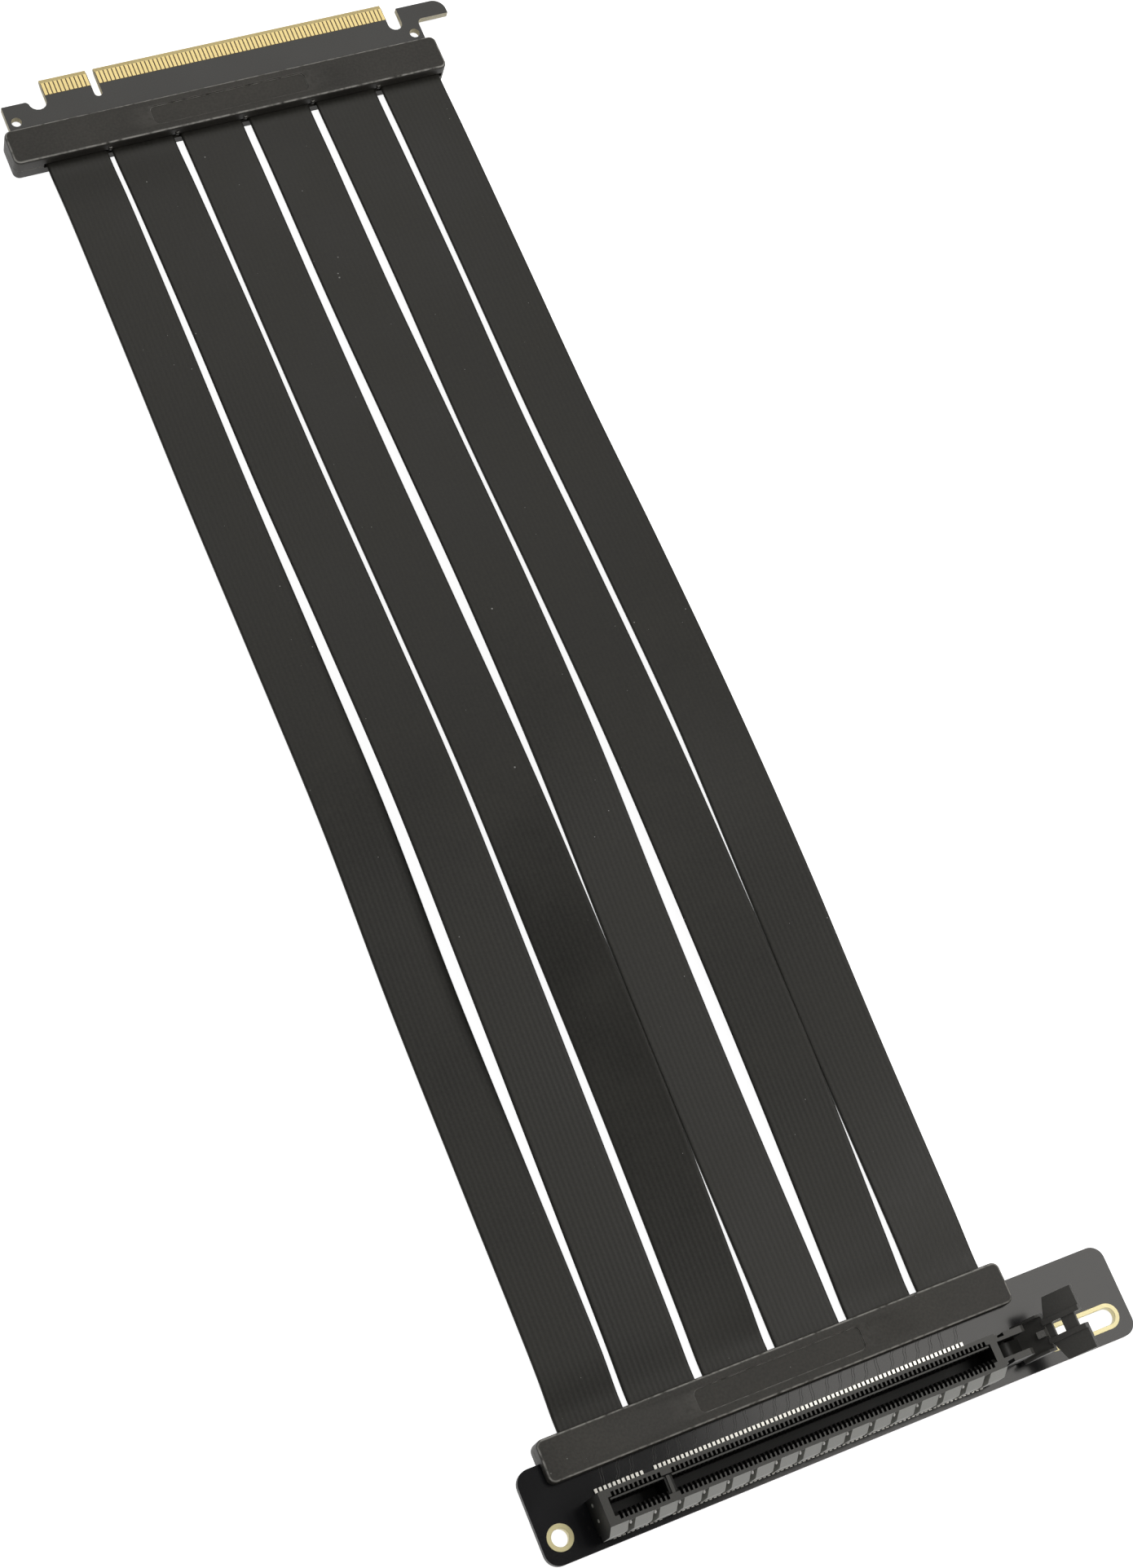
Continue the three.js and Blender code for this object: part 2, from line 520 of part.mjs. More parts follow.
// Gold fingers on both faces, as thin ridges behind the bevel
function fingers() {
  const along = [CARD_EDGE_Y - BEVEL_LENGTH - FINGER_LENGTH, CARD_EDGE_Y - BEVEL_LENGTH];
  const sunk = FINGER_PROUD;
  const list = [];
  for (const x of contactPlaces(CARD_EDGE_X)) {
    const across = [x - FINGER_WIDTH / 2, x + FINGER_WIDTH / 2];
    list.push([across, along, [BOARD_TOP - sunk, BOARD_TOP + FINGER_PROUD]]);
    list.push([across, along, [BOARD_BOTTOM - FINGER_PROUD, BOARD_BOTTOM + sunk]]);
  }
  return boxes(list);
}

const cardBoard = () =>
  prismZ(cardBoardOutline(), [BOARD_BOTTOM, BOARD_TOP]).subtract(bevelCuts()).add(fingers());

// A cover block with rounded corners and eased edges, before its two halves are parted
function coverBlock([x0, x1], [y0, y1]) {
  const inset = COVER_EDGE;
  const outline = roundedRectangle([x0 + inset, x1 - inset], [y0 + inset, y1 - inset],
    COVER_CORNER - inset);
  const geometry = new THREE.ExtrudeGeometry(outline, {
    depth: COVER_HEIGHT - 2 * inset, curveSegments: EDGE_STEPS, bevelEnabled: true,
    bevelThickness: inset, bevelSize: inset, bevelSegments: EDGE_STEPS });
  return solid(geometry.translate(0, 0, inset));
}

// The space in a cover for the end of its board and for the roots of the ribbons
function coverSpace(boardY, ribbonY, xOf) {
  const boardSpace = box([-SOCKET_BOARD_LEFT - OVERSHOOT, SOCKET_BOARD_RIGHT + OVERSHOOT], boardY,
    [BOARD_BOTTOM, BOARD_TOP]);
  const margin = RIBBON_WIDTH / 2 + FIT_GAP;
  const first = xOf(RIBBONS[0]) - margin;
  const last = xOf(RIBBONS[RIBBONS.length - 1]) + margin;
  const slotHalf = RIBBON_THICKNESS / 2 + FIT_GAP;
  return boardSpace.add(box([first, last], ribbonY, [MIDDLE_Z - slotHalf, MIDDLE_Z + slotHalf]));
}

// Small nubs on the front of the card-side top cover, one over each gap between ribbons
function gapNubs() {
  const list = [];
  for (let i = 1; i < RIBBONS.length; i++) {
    const x = (cardX(RIBBONS[i - 1]) + cardX(RIBBONS[i])) / 2;
    list.push([[x - NUB_WIDTH / 2, x + NUB_WIDTH / 2],
      [CARD_COVER_FRONT_Y - NUB_REACH, CARD_COVER_FRONT_Y + NUB_REACH],
      [BOARD_TOP + FIT_GAP, COVER_HEIGHT - COVER_EDGE * 2]]);
  }
  return boxes(list);
}

// Top and bottom cover of one end; the top has a bare recess along its middle
function covers(middleX, y, space) {
  const x = [middleX - COVER_LENGTH / 2, middleX + COVER_LENGTH / 2];
  const whole = coverBlock(x, y).subtract(space);
  const reach = [x[0] - OVERSHOOT, x[1] + OVERSHOOT];
  const depth = [y[0] - OVERSHOOT, y[1] + OVERSHOOT];
  const middleY = (y[0] + y[1]) / 2;
  const recess = prismZ(roundedRectangle([middleX - RECESS_LENGTH / 2, middleX + RECESS_LENGTH / 2],
    [middleY - RECESS_WIDTH / 2, middleY + RECESS_WIDTH / 2], RECESS_CORNER),
  [COVER_HEIGHT - RECESS_DEPTH, COVER_HEIGHT + OVERSHOOT]);
  return {
    top: whole.intersect(box(reach, depth, [MIDDLE_Z, COVER_HEIGHT + OVERSHOOT])).subtract(recess),
    bottom: whole.intersect(box(reach, depth, [-OVERSHOOT, MIDDLE_Z])),
  };
}

// A ribbon in side view: its route with half its thickness to each side, then set over
// little by little from its place at the socket to its place at the card edge
function ribbon(one) {
  const open = CARD_COVER_FRONT_Y - SOCKET_COVER_BACK;
  const way = [[SOCKET_BOARD_BACK, MIDDLE_Z], [SOCKET_COVER_BACK, MIDDLE_Z],
    [SOCKET_COVER_BACK + RIBBON_STRAIGHT, MIDDLE_Z]];
  RIBBON_PLACES.forEach((share, i) => way.push(
    [SOCKET_COVER_BACK + share * open, MIDDLE_Z + one.rises[i] * ARCH_RISE]));
  way.push([CARD_COVER_FRONT_Y - RIBBON_STRAIGHT, MIDDLE_Z], [CARD_COVER_FRONT_Y, MIDDLE_Z],
    [CARD_BOARD_END_Y, MIDDLE_Z]);
  const curve = new THREE.CatmullRomCurve3(way.map(([y, z]) => new THREE.Vector3(y, z, 0)),
    false, 'centripetal');
  const upper = [];
  const lower = [];
  for (let i = 0; i <= RIBBON_STEPS; i++) {
    const point = curve.getPointAt(i / RIBBON_STEPS);
    const atEnd = i === 0 || i === RIBBON_STEPS;
    const tangent = atEnd ? new THREE.Vector3(1, 0, 0) : curve.getTangentAt(i / RIBBON_STEPS);
    const half = RIBBON_THICKNESS / 2;
    upper.push(new THREE.Vector2(point.x - tangent.y * half, point.y + tangent.x * half));
    lower.push(new THREE.Vector2(point.x + tangent.y * half, point.y - tangent.x * half));
  }
  const outline = new THREE.Shape([...lower, ...upper.reverse()]);
  const geometry = geometryOf(prismX(outline, [-RIBBON_WIDTH / 2, RIBBON_WIDTH / 2]));
  const drift = (cardX(one) - socketX(one)) / (CARD_BOARD_END_Y - SOCKET_BOARD_BACK);
  const shear = new THREE.Matrix4().set(
    1, drift, 0, socketX(one) - drift * SOCKET_BOARD_BACK, 0, 1, 0, 0, 0, 0, 1, 0, 0, 0, 0, 1);
  return geometry.applyMatrix4(shear);
}

const riser = new THREE.Group();

function place(name, geometry, finish) {
  const mesh = new THREE.Mesh(geometry, material(finish.color, finish.roughness, finish.metalness));
  mesh.name = name;
  riser.add(mesh);
}

place('socket_board', geometryOf(socketBoard()), BOARD_FINISH);
place('round_hole_plating', geometryOf(plating(ROUND_HOLE_X, ROUND_HOLE_X)), PLATING_FINISH);
place('slot_hole_plating', geometryOf(plating(SLOT_HOLE_LEFT_X, SLOT_HOLE_RIGHT_X)), PLATING_FINISH);
place('socket_housing', geometryOf(socketHousing()), SOCKET_FINISH);
place('retention_latch', latch(), LATCH_FINISH);

const socketCovers = covers(SOCKET_COVER_MIDDLE_X, [SOCKET_COVER_FRONT, SOCKET_COVER_BACK],
  coverSpace([SOCKET_COVER_FRONT - OVERSHOOT, SOCKET_BOARD_BACK],
    [SOCKET_BOARD_BACK, SOCKET_COVER_BACK + OVERSHOOT], socketX));
place('socket_cover_top', geometryOf(socketCovers.top), COVER_FINISH);
place('socket_cover_bottom', geometryOf(socketCovers.bottom), COVER_FINISH);

RIBBONS.forEach((one, i) => place(`ribbon_${i + 1}`, ribbon(one), RIBBON_FINISH));

place('card_board', geometryOf(cardBoard()), BOARD_FINISH);
const cardSpace = coverSpace([CARD_BOARD_END_Y, CARD_COVER_BACK_Y + OVERSHOOT],
  [CARD_COVER_FRONT_Y - OVERSHOOT, CARD_BOARD_END_Y], cardX)
  .intersect(box([EAR_LEFT - FIT_GAP, NECK_RIGHT + FIT_GAP * 2],
    [CARD_COVER_FRONT_Y - OVERSHOOT, CARD_COVER_BACK_Y + OVERSHOOT], [0, COVER_HEIGHT]));
const cardCovers = covers(CARD_COVER_MIDDLE_X, [CARD_COVER_FRONT_Y, CARD_COVER_BACK_Y], cardSpace);
place('card_cover_top', geometryOf(cardCovers.top.add(gapNubs())), COVER_FINISH);
place('card_cover_bottom', geometryOf(cardCovers.bottom), COVER_FINISH);

// The footprint runs from the latch's wing to the card edge and over the socket board
riser.position.set((SOCKET_BOARD_LEFT - SOCKET_BOARD_RIGHT) / 2, (WING_OUTER - CARD_EDGE_Y) / 2, 0);
const whole = new THREE.Group();
whole.add(riser);

export default whole;
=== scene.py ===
"""Looks of a flat ribbon riser for a graphics card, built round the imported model."""

import math

import bmesh
import bpy
import numpy as np
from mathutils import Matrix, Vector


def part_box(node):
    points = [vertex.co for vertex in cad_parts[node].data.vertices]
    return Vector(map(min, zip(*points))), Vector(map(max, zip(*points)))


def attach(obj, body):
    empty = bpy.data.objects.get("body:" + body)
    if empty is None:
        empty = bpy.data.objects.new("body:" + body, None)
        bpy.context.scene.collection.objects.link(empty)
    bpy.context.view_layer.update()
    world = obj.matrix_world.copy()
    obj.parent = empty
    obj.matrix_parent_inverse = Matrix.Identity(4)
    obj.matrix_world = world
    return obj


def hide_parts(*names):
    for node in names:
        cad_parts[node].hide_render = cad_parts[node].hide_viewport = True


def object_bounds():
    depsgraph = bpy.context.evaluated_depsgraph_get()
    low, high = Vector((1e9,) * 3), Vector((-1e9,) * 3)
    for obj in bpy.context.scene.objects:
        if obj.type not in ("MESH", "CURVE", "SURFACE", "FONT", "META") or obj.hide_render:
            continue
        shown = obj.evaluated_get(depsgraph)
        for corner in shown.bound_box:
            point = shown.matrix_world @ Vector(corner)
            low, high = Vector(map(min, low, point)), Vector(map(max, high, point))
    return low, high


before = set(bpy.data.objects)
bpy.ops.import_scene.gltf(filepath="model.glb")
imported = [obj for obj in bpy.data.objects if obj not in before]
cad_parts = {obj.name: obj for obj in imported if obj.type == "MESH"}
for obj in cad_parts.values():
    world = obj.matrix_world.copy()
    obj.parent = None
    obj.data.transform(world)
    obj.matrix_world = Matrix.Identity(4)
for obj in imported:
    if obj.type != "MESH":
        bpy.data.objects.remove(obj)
CAD_BOUNDS = [list(map(float, corner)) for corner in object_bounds()]

bl_info = {
    "name": "Ribbon Riser Looks",
    "version": (1, 0, 0),
    "blender": (4, 5, 0),
    "location": "View3D > Sidebar > Ribbon Riser",
    "description": "Dresses the packed riser with its covers, ribbons, boards, socket and latch",
    "category": "Object",
}

MM = 0.001
ROOT = "riser"
LATCH = "latch"

# The drawing's zero lies under the middle of the socket's contact rows
ZERO_FROM_CORNER = (55.7 * MM, 6.1 * MM)
BOARD_LOW, BOARD_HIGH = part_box("socket_board")
ZERO_X = BOARD_LOW.x + ZERO_FROM_CORNER[0]
ZERO_Y = BOARD_LOW.y + ZERO_FROM_CORNER[1]
BOARD_BOTTOM = BOARD_LOW.z
BOARD_TOP = BOARD_HIGH.z
MIDDLE_Z = (BOARD_BOTTOM + BOARD_TOP) / 2

# Contact rows of the socket, and the place of the card edge's tip
CONTACT_PITCH = 1.0 * MM
SHORT_GROUP = 11
LONG_GROUP = 71
KEY_STEP = 3.0 * MM
CARD_EDGE_Y = 342.6 * MM
FINGER_BAND = 4.45 * MM
TONGUE_RIGHT = 46.5 * MM

# The socket moulding
SOCKET_END = 44.3 * MM
RIB_COUNT = 17
RIB_GAP = 1.43 * MM
BEAD_COUNT = 15

# Plated holes
HOLE_OUTER = 2.75 * MM
HOLE_INNER = 1.8 * MM
HOLE_Y = -1.0 * MM
ROUND_HOLE_X = (-51.5 * MM, -51.5 * MM)
SLOT_HOLE_X = (60.6 * MM, 73.9 * MM)

# The recess in each top cover, and the ribbons' slot in each pair
RECESS_HALF = (18.8 * MM, 2.45 * MM)
RECESS_CORNER = 1.2 * MM
SLOT_HALF_HEIGHT = 0.75 * MM
SLOT_DEPTH = 2.5 * MM
SLOT_SPARE = 7.8 * MM

# The ribbons' routes in mm, partly measured in the picture and partly given: their middle
# at the socket and at the card, their width, their height at each place, and how much higher
# their right edge lies there. Every twist is given one by one.
RIBBON_THICKNESS = 0.9 * MM
RIBBON_STRAIGHT = 3.0 * MM
RIBBON_PLACES = [30, 70, 110, 150, 190, 230, 270, 306]
LEVEL_PLACES = (20.7, 317.9)
RIBBONS = [
    (-36.87, -37.03, 14.45,
     [4.6, 5.1, 5.8, 9.3, 7.9, 5.9, 5.4, 4.4], [0, 0, 0, 0, 0, 0, 0, 0]),
    (-21.05, -21.4, 14.85,
     [4.4, 7.9, 11.1, 13.5, 11.4, 8.1, 6.8, 4.4], [0, 0, 0, 0, 0, 0.6, 0, 0]),
    (-4.5, -4.9, 14.85,
     [4.6, 8.9, 10.6, 11.5, 9.2, 6.4, 4.6, 3.7], [0.6, 2.6, 2.6, 0, 0, 0, 0, 0]),
    (11.95, 11.68, 14.85,
     [3.6, 4.6, 7.1, 10.6, 10.5, 7.8, 4.8, 3.8], [0, 0.4, 0.4, 0.4, 0, 0, 0, 0]),
    (28.58, 28.3, 14.85,
     [4.3, 8.5, 10.4, 10.8, 8.7, 5.7, 5.3, 3.8], [0.2, 1.8, 1.5, 0.2, 0, 0, 0, 0]),
    (44.98, 44.65, 14.85,
     [3.9, 5.4, 8.2, 9.7, 8.1, 5.4, 4.6, 3.8], [0.2, 1.6, 1.8, -0.6, 0, 0, 0, 0]),
]

# The camera that sees the riser as the picture does
CAMERA_PLACE = (-197.6 * MM, -38.8 * MM, 591.1 * MM)
CAMERA_TURN = (22.6362, -11.6719, -22.7975)
CAMERA_LENS = 96.36


class RiserSizes(bpy.types.PropertyGroup):
    """Sizes of the finished riser that its user may change."""

    cover_edge: bpy.props.FloatProperty(
        name="Cover edge", description="Radius of the eased edges of the covers",
        default=0.7 * MM, unit="LENGTH", precision=5)
    cover_corner: bpy.props.FloatProperty(
        name="Cover corner", description="Radius of the covers' corners in plan",
        default=1.6 * MM, unit="LENGTH", precision=5)
    recess_depth: bpy.props.FloatProperty(
        name="Recess depth", description="Depth of the bare recess in each top cover",
        default=0.35 * MM, unit="LENGTH", precision=5)
    flute_pitch: bpy.props.FloatProperty(
        name="Flute pitch", description="Spacing of the conductors that show along a ribbon",
        default=1.1 * MM, unit="LENGTH", precision=5)
    flute_height: bpy.props.FloatProperty(
        name="Flute height", description="Height of the conductors' ridges",
        default=0.02 * MM, unit="LENGTH", precision=5)


class RiserColours(bpy.types.PropertyGroup):
    """Colours of the finished riser, as linear values."""

    cover: bpy.props.FloatVectorProperty(
        name="Cover", description="Moulded covers", subtype="COLOR", size=3,
        default=(0.050, 0.047, 0.041))
    ribbon: bpy.props.FloatVectorProperty(
        name="Ribbon", description="Jacket of the ribbons", subtype="COLOR", size=3,
        default=(0.023, 0.022, 0.018))
    mask: bpy.props.FloatVectorProperty(
        name="Solder mask", description="Black solder mask of the boards", subtype="COLOR", size=3,
        default=(0.010, 0.010, 0.011))
    socket: bpy.props.FloatVectorProperty(
        name="Socket", description="Moulded socket", subtype="COLOR", size=3,
        default=(0.075, 0.074, 0.068))
    # The ribs' pale grey is a painted reflection on their sloped faces.
    rib: bpy.props.FloatVectorProperty(
        name="Front ribs", description="Sloped ribs of the socket", subtype="COLOR", size=3,
        default=(0.38, 0.38, 0.35))
    gold: bpy.props.FloatVectorProperty(
        name="Gold", description="Gold plating", subtype="COLOR", size=3,
        default=(0.86, 0.70, 0.32))
    laminate: bpy.props.FloatVectorProperty(
        name="Laminate", description="Bare edges of the card board", subtype="COLOR", size=3,
        default=(0.80, 0.74, 0.56))
    latch: bpy.props.FloatVectorProperty(
        name="Latch", description="Moulded retention latch", subtype="COLOR", size=3,
        default=(0.085, 0.083, 0.077))


class StageSettings(bpy.types.PropertyGroup):
    """The floor and the lamps."""

    floor_size: bpy.props.FloatProperty(
        name="Floor size", description="Side of the square floor", default=6.0, unit="LENGTH")
    floor_glow: bpy.props.FloatProperty(
        name="Floor glow", description="How far the floor shows white by itself", default=0.9)
    key_power: bpy.props.FloatProperty(
        name="Key power", description="Power of the large lamp on the right", default=1.45,
        unit="POWER")
    back_power: bpy.props.FloatProperty(
        name="Back power", description="Power of the large lamp behind the card edge", default=1.5,
        unit="POWER")
    fill_power: bpy.props.FloatProperty(
        name="Fill power", description="Power of the soft lamp overhead", default=7.0,
        unit="POWER")


def settings():
    """The sizes, the colours and the stage's values that the sidebar shows."""
    scene = bpy.context.scene
    return scene.riser_sizes, scene.riser_colours, scene.riser_stage


# Meshes


def mesh_object(name, vertices, faces, body, smooth=True):
    """Puts arrays of vertices and faces into a mesh whose object rides on a body."""
    mesh = bpy.data.meshes.new(name)
    mesh.from_pydata(np.asarray(vertices).tolist(), [], [list(f) for f in faces])
    mesh.update()
    mesh.polygons.foreach_set("use_smooth", np.full(len(mesh.polygons), smooth))
    piece = bpy.data.objects.new(name, mesh)
    bpy.context.scene.collection.objects.link(piece)
    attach(piece, body)
    return piece


def grid_faces(rows, columns, closed_rows=False, closed_columns=False):
    """Quads between neighbours of a grid of points, and round it where it is closed."""
    r = np.arange(rows if closed_rows else rows - 1)
    c = np.arange(columns if closed_columns else columns - 1)
    r, c = np.meshgrid(r, c, indexing="ij")
    r1, c1 = (r + 1) % rows, (c + 1) % columns
    quads = np.stack([r * columns + c, r * columns + c1, r1 * columns + c1, r1 * columns + c], -1)
    return quads.reshape(-1, 4)


def capped_faces(rings, count, base=0):
    """Quads between rings of points, and a face at each end."""
    first = base + np.arange(count)
    last = first + (rings - 1) * count
    quads = grid_faces(rings, count, closed_columns=True)
    return [list(base + f) for f in quads] + [list(first[::-1]), list(last)]


def rounded_ring(x, y, radius, z, steps):
    """A level ring: four quarter circles of one radius, joined by the rectangle's sides."""
    angles = np.linspace(0, math.pi / 2, steps + 1)
    centres = [(x[1], y[1], 0.0), (x[0], y[1], 0.5), (x[0], y[0], 1.0), (x[1], y[0], 1.5)]
    rings = []
    for corner_x, corner_y, half_turns in centres:
        turn = angles + half_turns * math.pi
        inner_x = corner_x - math.copysign(radius, corner_x - (x[0] + x[1]) / 2)
        inner_y = corner_y - math.copysign(radius, corner_y - (y[0] + y[1]) / 2)
        rings.append(np.stack([inner_x + radius * np.cos(turn), inner_y + radius * np.sin(turn),
                               np.full_like(turn, z)], -1))
    return np.concatenate(rings)


def lofted(name, rings, body, flip=False):
    """Joins rings of equal count by quads and closes both ends."""
    faces = capped_faces(len(rings), len(rings[0]))
    if flip:
        faces = [f[::-1] for f in faces]
    return mesh_object(name, np.concatenate(rings), faces, body)


def add_uv(mesh, across, along):
    """Places each vertex on the mesh's map by its distance across and along, in metres."""
    corners = np.zeros(len(mesh.loops), np.int32)
    mesh.loops.foreach_get("vertex_index", corners)
    layer = mesh.uv_layers.new(name="Lay")
    layer.data.foreach_set("uv", np.stack([across[corners], along[corners]], -1).ravel())


def swept(section, centres, sides, ups):
    """A closed section (across, up) carried along a path of frames."""
    across = section[None, :, 0, None] * sides[:, None, :]
    up = section[None, :, 1, None] * ups[:, None, :]
    return centres[:, None, :] + across + up


def node_copy(name, node, body):
    """A copy of a CAD node's mesh with its loose triangles merged."""
    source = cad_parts[node]
    mesh = source.data.copy()
    mesh.name = name
    work = bmesh.new()
    work.from_mesh(mesh)
    bmesh.ops.remove_doubles(work, verts=work.verts, dist=1e-6)
    bmesh.ops.dissolve_limit(work, angle_limit=0.01, verts=work.verts, edges=work.edges)
    work.to_mesh(mesh)
    work.free()
    mesh.materials.clear()
    for layer in list(mesh.uv_layers):
        mesh.uv_layers.remove(layer)
    piece = bpy.data.objects.new(name, mesh)
    bpy.context.scene.collection.objects.link(piece)
    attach(piece, body)
    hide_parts(node)
    return piece


def face_arrays(mesh):
    """Centres and normals of all faces."""
    centres = np.zeros(len(mesh.polygons) * 3)
    normals = np.zeros(len(mesh.polygons) * 3)
    mesh.polygons.foreach_get("center", centres)
    mesh.polygons.foreach_get("normal", normals)
    return centres.reshape(-1, 3), normals.reshape(-1, 3)


def soften(piece, width, segments=2):
    """Eases sharp edges and shades the result smoothly."""
    bevel = piece.modifiers.new("Eased edges", "BEVEL")
    bevel.width = width
    bevel.segments = segments
    bevel.limit_method = "ANGLE"
    bevel.angle_limit = math.radians(40)
    piece.data.polygons.foreach_set("use_smooth", np.full(len(piece.data.polygons), True))
    weighted = piece.modifiers.new("Face weight", "WEIGHTED_NORMAL")
    weighted.keep_sharp = True


def contact_places(middle_x):
    """X of every contact, with the step over the key."""
    index = np.arange(SHORT_GROUP + LONG_GROUP)
    span = (SHORT_GROUP + LONG_GROUP - 2) * CONTACT_PITCH + KEY_STEP
    step = np.where(index < SHORT_GROUP, 0, KEY_STEP - CONTACT_PITCH)
    return ZERO_X + middle_x - span / 2 + index * CONTACT_PITCH + step


# Materials


def node_group(name, inputs, outputs):
    """A new shader group with its sockets, and its two end nodes."""
    group = bpy.data.node_groups.new(name, "ShaderNodeTree")
    for label, kind, value in inputs:
        socket = group.interface.new_socket(name=label, in_out="INPUT", socket_type=kind)
        socket.default_value = value
    for label, kind in outputs:
        group.interface.new_socket(name=label, in_out="OUTPUT", socket_type=kind)
    return group, group.nodes.new("NodeGroupInput"), group.nodes.new("NodeGroupOutput")


def connect(tree, value, socket):
    """Feeds a socket from another one, or sets it to a plain value."""
    if isinstance(value, bpy.types.NodeSocket):
        tree.links.new(value, socket)
    else:
        socket.default_value = value


def math_node(tree, operation, *values):
    """One sum, of numbers or of other nodes' results."""
    node = tree.nodes.new("ShaderNodeMath")
    node.operation = operation
    for value, socket in zip(values, node.inputs):
        connect(tree, value, socket)
    return node.outputs[0]


def range_node(tree, value, source, target=(0.0, 1.0)):
    """A value taken from one range to another and held at its ends."""
    node = tree.nodes.new("ShaderNodeMapRange")
    connect(tree, value, node.inputs["Value"])
    for label, end in zip(("From Min", "From Max", "To Min", "To Max"), (*source, *target)):
        connect(tree, end, node.inputs[label])
    return node.outputs["Result"]


def mix_node(tree, factor, first, second, blend="MIX"):
    """Two colours mixed by a factor."""
    node = tree.nodes.new("ShaderNodeMix")
    node.data_type = "RGBA"
    node.blend_type = blend
    connect(tree, factor, node.inputs["Factor"])
    connect(tree, first, node.inputs[6])
    connect(tree, second, node.inputs[7])
    return node.outputs[2]


def object_place(tree):
    """The place on the object's own axes, in metres."""
    return tree.nodes.new("ShaderNodeTexCoord").outputs["Object"]


def noise_node(tree, place, scale, detail):
    """Soft noise at a place, so many to the metre."""
    node = tree.nodes.new("ShaderNodeTexNoise")
    connect(tree, place, node.inputs["Vector"])
    connect(tree, scale, node.inputs["Scale"])
    connect(tree, detail, node.inputs["Detail"])
    return node.outputs["Fac"]


def split_node(tree, vector):
    """A vector's three parts, by the names X, Y and Z."""
    node = tree.nodes.new("ShaderNodeSeparateXYZ")
    tree.links.new(vector, node.inputs["Vector"])
    return node.outputs


def relief_node(tree, height, strength, distance, normal=None):
    """Relief from a height, laid over a normal where one is given."""
    node = tree.nodes.new("ShaderNodeBump")
    node.inputs["Strength"].default_value = strength
    node.inputs["Distance"].default_value = distance
    tree.links.new(height, node.inputs["Height"])
    if normal:
        tree.links.new(normal, node.inputs["Normal"])
    return node.outputs["Normal"]


def moulded_grain():
    """Fine grain of moulded or printed surfaces: two noises added, as height and as tint."""
    name = "Moulded Grain"
    if name in bpy.data.node_groups:
        return bpy.data.node_groups[name]
    group, start, end = node_group(
        name,
        [("Scale", "NodeSocketFloat", 3000.0), ("Tint Low", "NodeSocketColor", (0, 0, 0, 1)),
         ("Tint High", "NodeSocketColor", (1, 1, 1, 1)), ("Rough Low", "NodeSocketFloat", 0.5),
         ("Rough High", "NodeSocketFloat", 0.6)],
        [("Color", "NodeSocketColor"), ("Roughness", "NodeSocketFloat"),
         ("Height", "NodeSocketFloat")])
    place = object_place(group)
    fine = noise_node(group, place, start.outputs["Scale"], 3.0)
    broad = noise_node(group, place, 60.0, 4.0)
    both = math_node(group, "MULTIPLY_ADD", fine, 0.5, math_node(group, "MULTIPLY", broad, 0.5))
    spread = range_node(group, both, (0.35, 0.65))
    tint = mix_node(group, spread, start.outputs["Tint Low"], start.outputs["Tint High"])
    rough = range_node(group, spread, (0.0, 1.0),
                       (start.outputs["Rough Low"], start.outputs["Rough High"]))
    connect(group, tint, end.inputs["Color"])
    connect(group, rough, end.inputs["Roughness"])
    connect(group, fine, end.inputs["Height"])
    return group


def dust_specks():
    """Sparse pale specks: the middles of scattered cells, as a mask that covers a colour."""
    name = "Dust Specks"
    if name in bpy.data.node_groups:
        return bpy.data.node_groups[name]
    group, start, end = node_group(
        name,
        [("Color", "NodeSocketColor", (0, 0, 0, 1)),
         ("Dust", "NodeSocketColor", (0.4, 0.4, 0.38, 1)),
         ("Scale", "NodeSocketFloat", 400.0), ("Speck Size", "NodeSocketFloat", 0.06)],
        [("Color", "NodeSocketColor"), ("Mask", "NodeSocketFloat")])
    place = object_place(group)
    cells = group.nodes.new("ShaderNodeTexVoronoi")
    cells.feature = "F1"
    connect(group, place, cells.inputs["Vector"])
    connect(group, start.outputs["Scale"], cells.inputs["Scale"])
    patch = noise_node(group, place, 90.0, 2.0)
    limit = range_node(group, patch, (0.5, 0.75), (0.0, start.outputs["Speck Size"]))
    near = math_node(group, "LESS_THAN", cells.outputs["Distance"], limit)
    dusty = mix_node(group, near, start.outputs["Color"], start.outputs["Dust"])
    connect(group, dusty, end.inputs["Color"])
    connect(group, near, end.inputs["Mask"])
    return group


def painted_edge_highlight():
    """Painted highlight: paler where a surface turns from level to upright, as along the tops of
    eased edges, broken by a noise.
    """
    name = "Edge Wear"
    if name in bpy.data.node_groups:
        return bpy.data.node_groups[name]
    group, start, end = node_group(
        name,
        [("Color", "NodeSocketColor", (0, 0, 0, 1)),
         ("Worn", "NodeSocketColor", (0.42, 0.41, 0.38, 1)),
         ("Amount", "NodeSocketFloat", 0.6)],
        [("Color", "NodeSocketColor"), ("Mask", "NodeSocketFloat")])
    shape = group.nodes.new("ShaderNodeNewGeometry")
    level = split_node(group, shape.outputs["Normal"])["Z"]
    away = math_node(group, "ABSOLUTE", math_node(group, "SUBTRACT", level, 0.8))
    band = range_node(group, away, (0.19, 0.08))
    patch = range_node(group, noise_node(group, object_place(group), 700.0, 6.0), (0.3, 0.55))
    mask = math_node(group, "MULTIPLY", band, patch)
    strength = math_node(group, "MULTIPLY", mask, start.outputs["Amount"])
    highlit = mix_node(group, strength, start.outputs["Color"], start.outputs["Worn"])
    connect(group, highlit, end.inputs["Color"])
    connect(group, strength, end.inputs["Mask"])
    return group


def shade(colour, factor):
    """A colour made paler or darker, held at white, with its alpha."""
    return tuple(min(1.0, c * factor) for c in colour[:3]) + (1.0,)


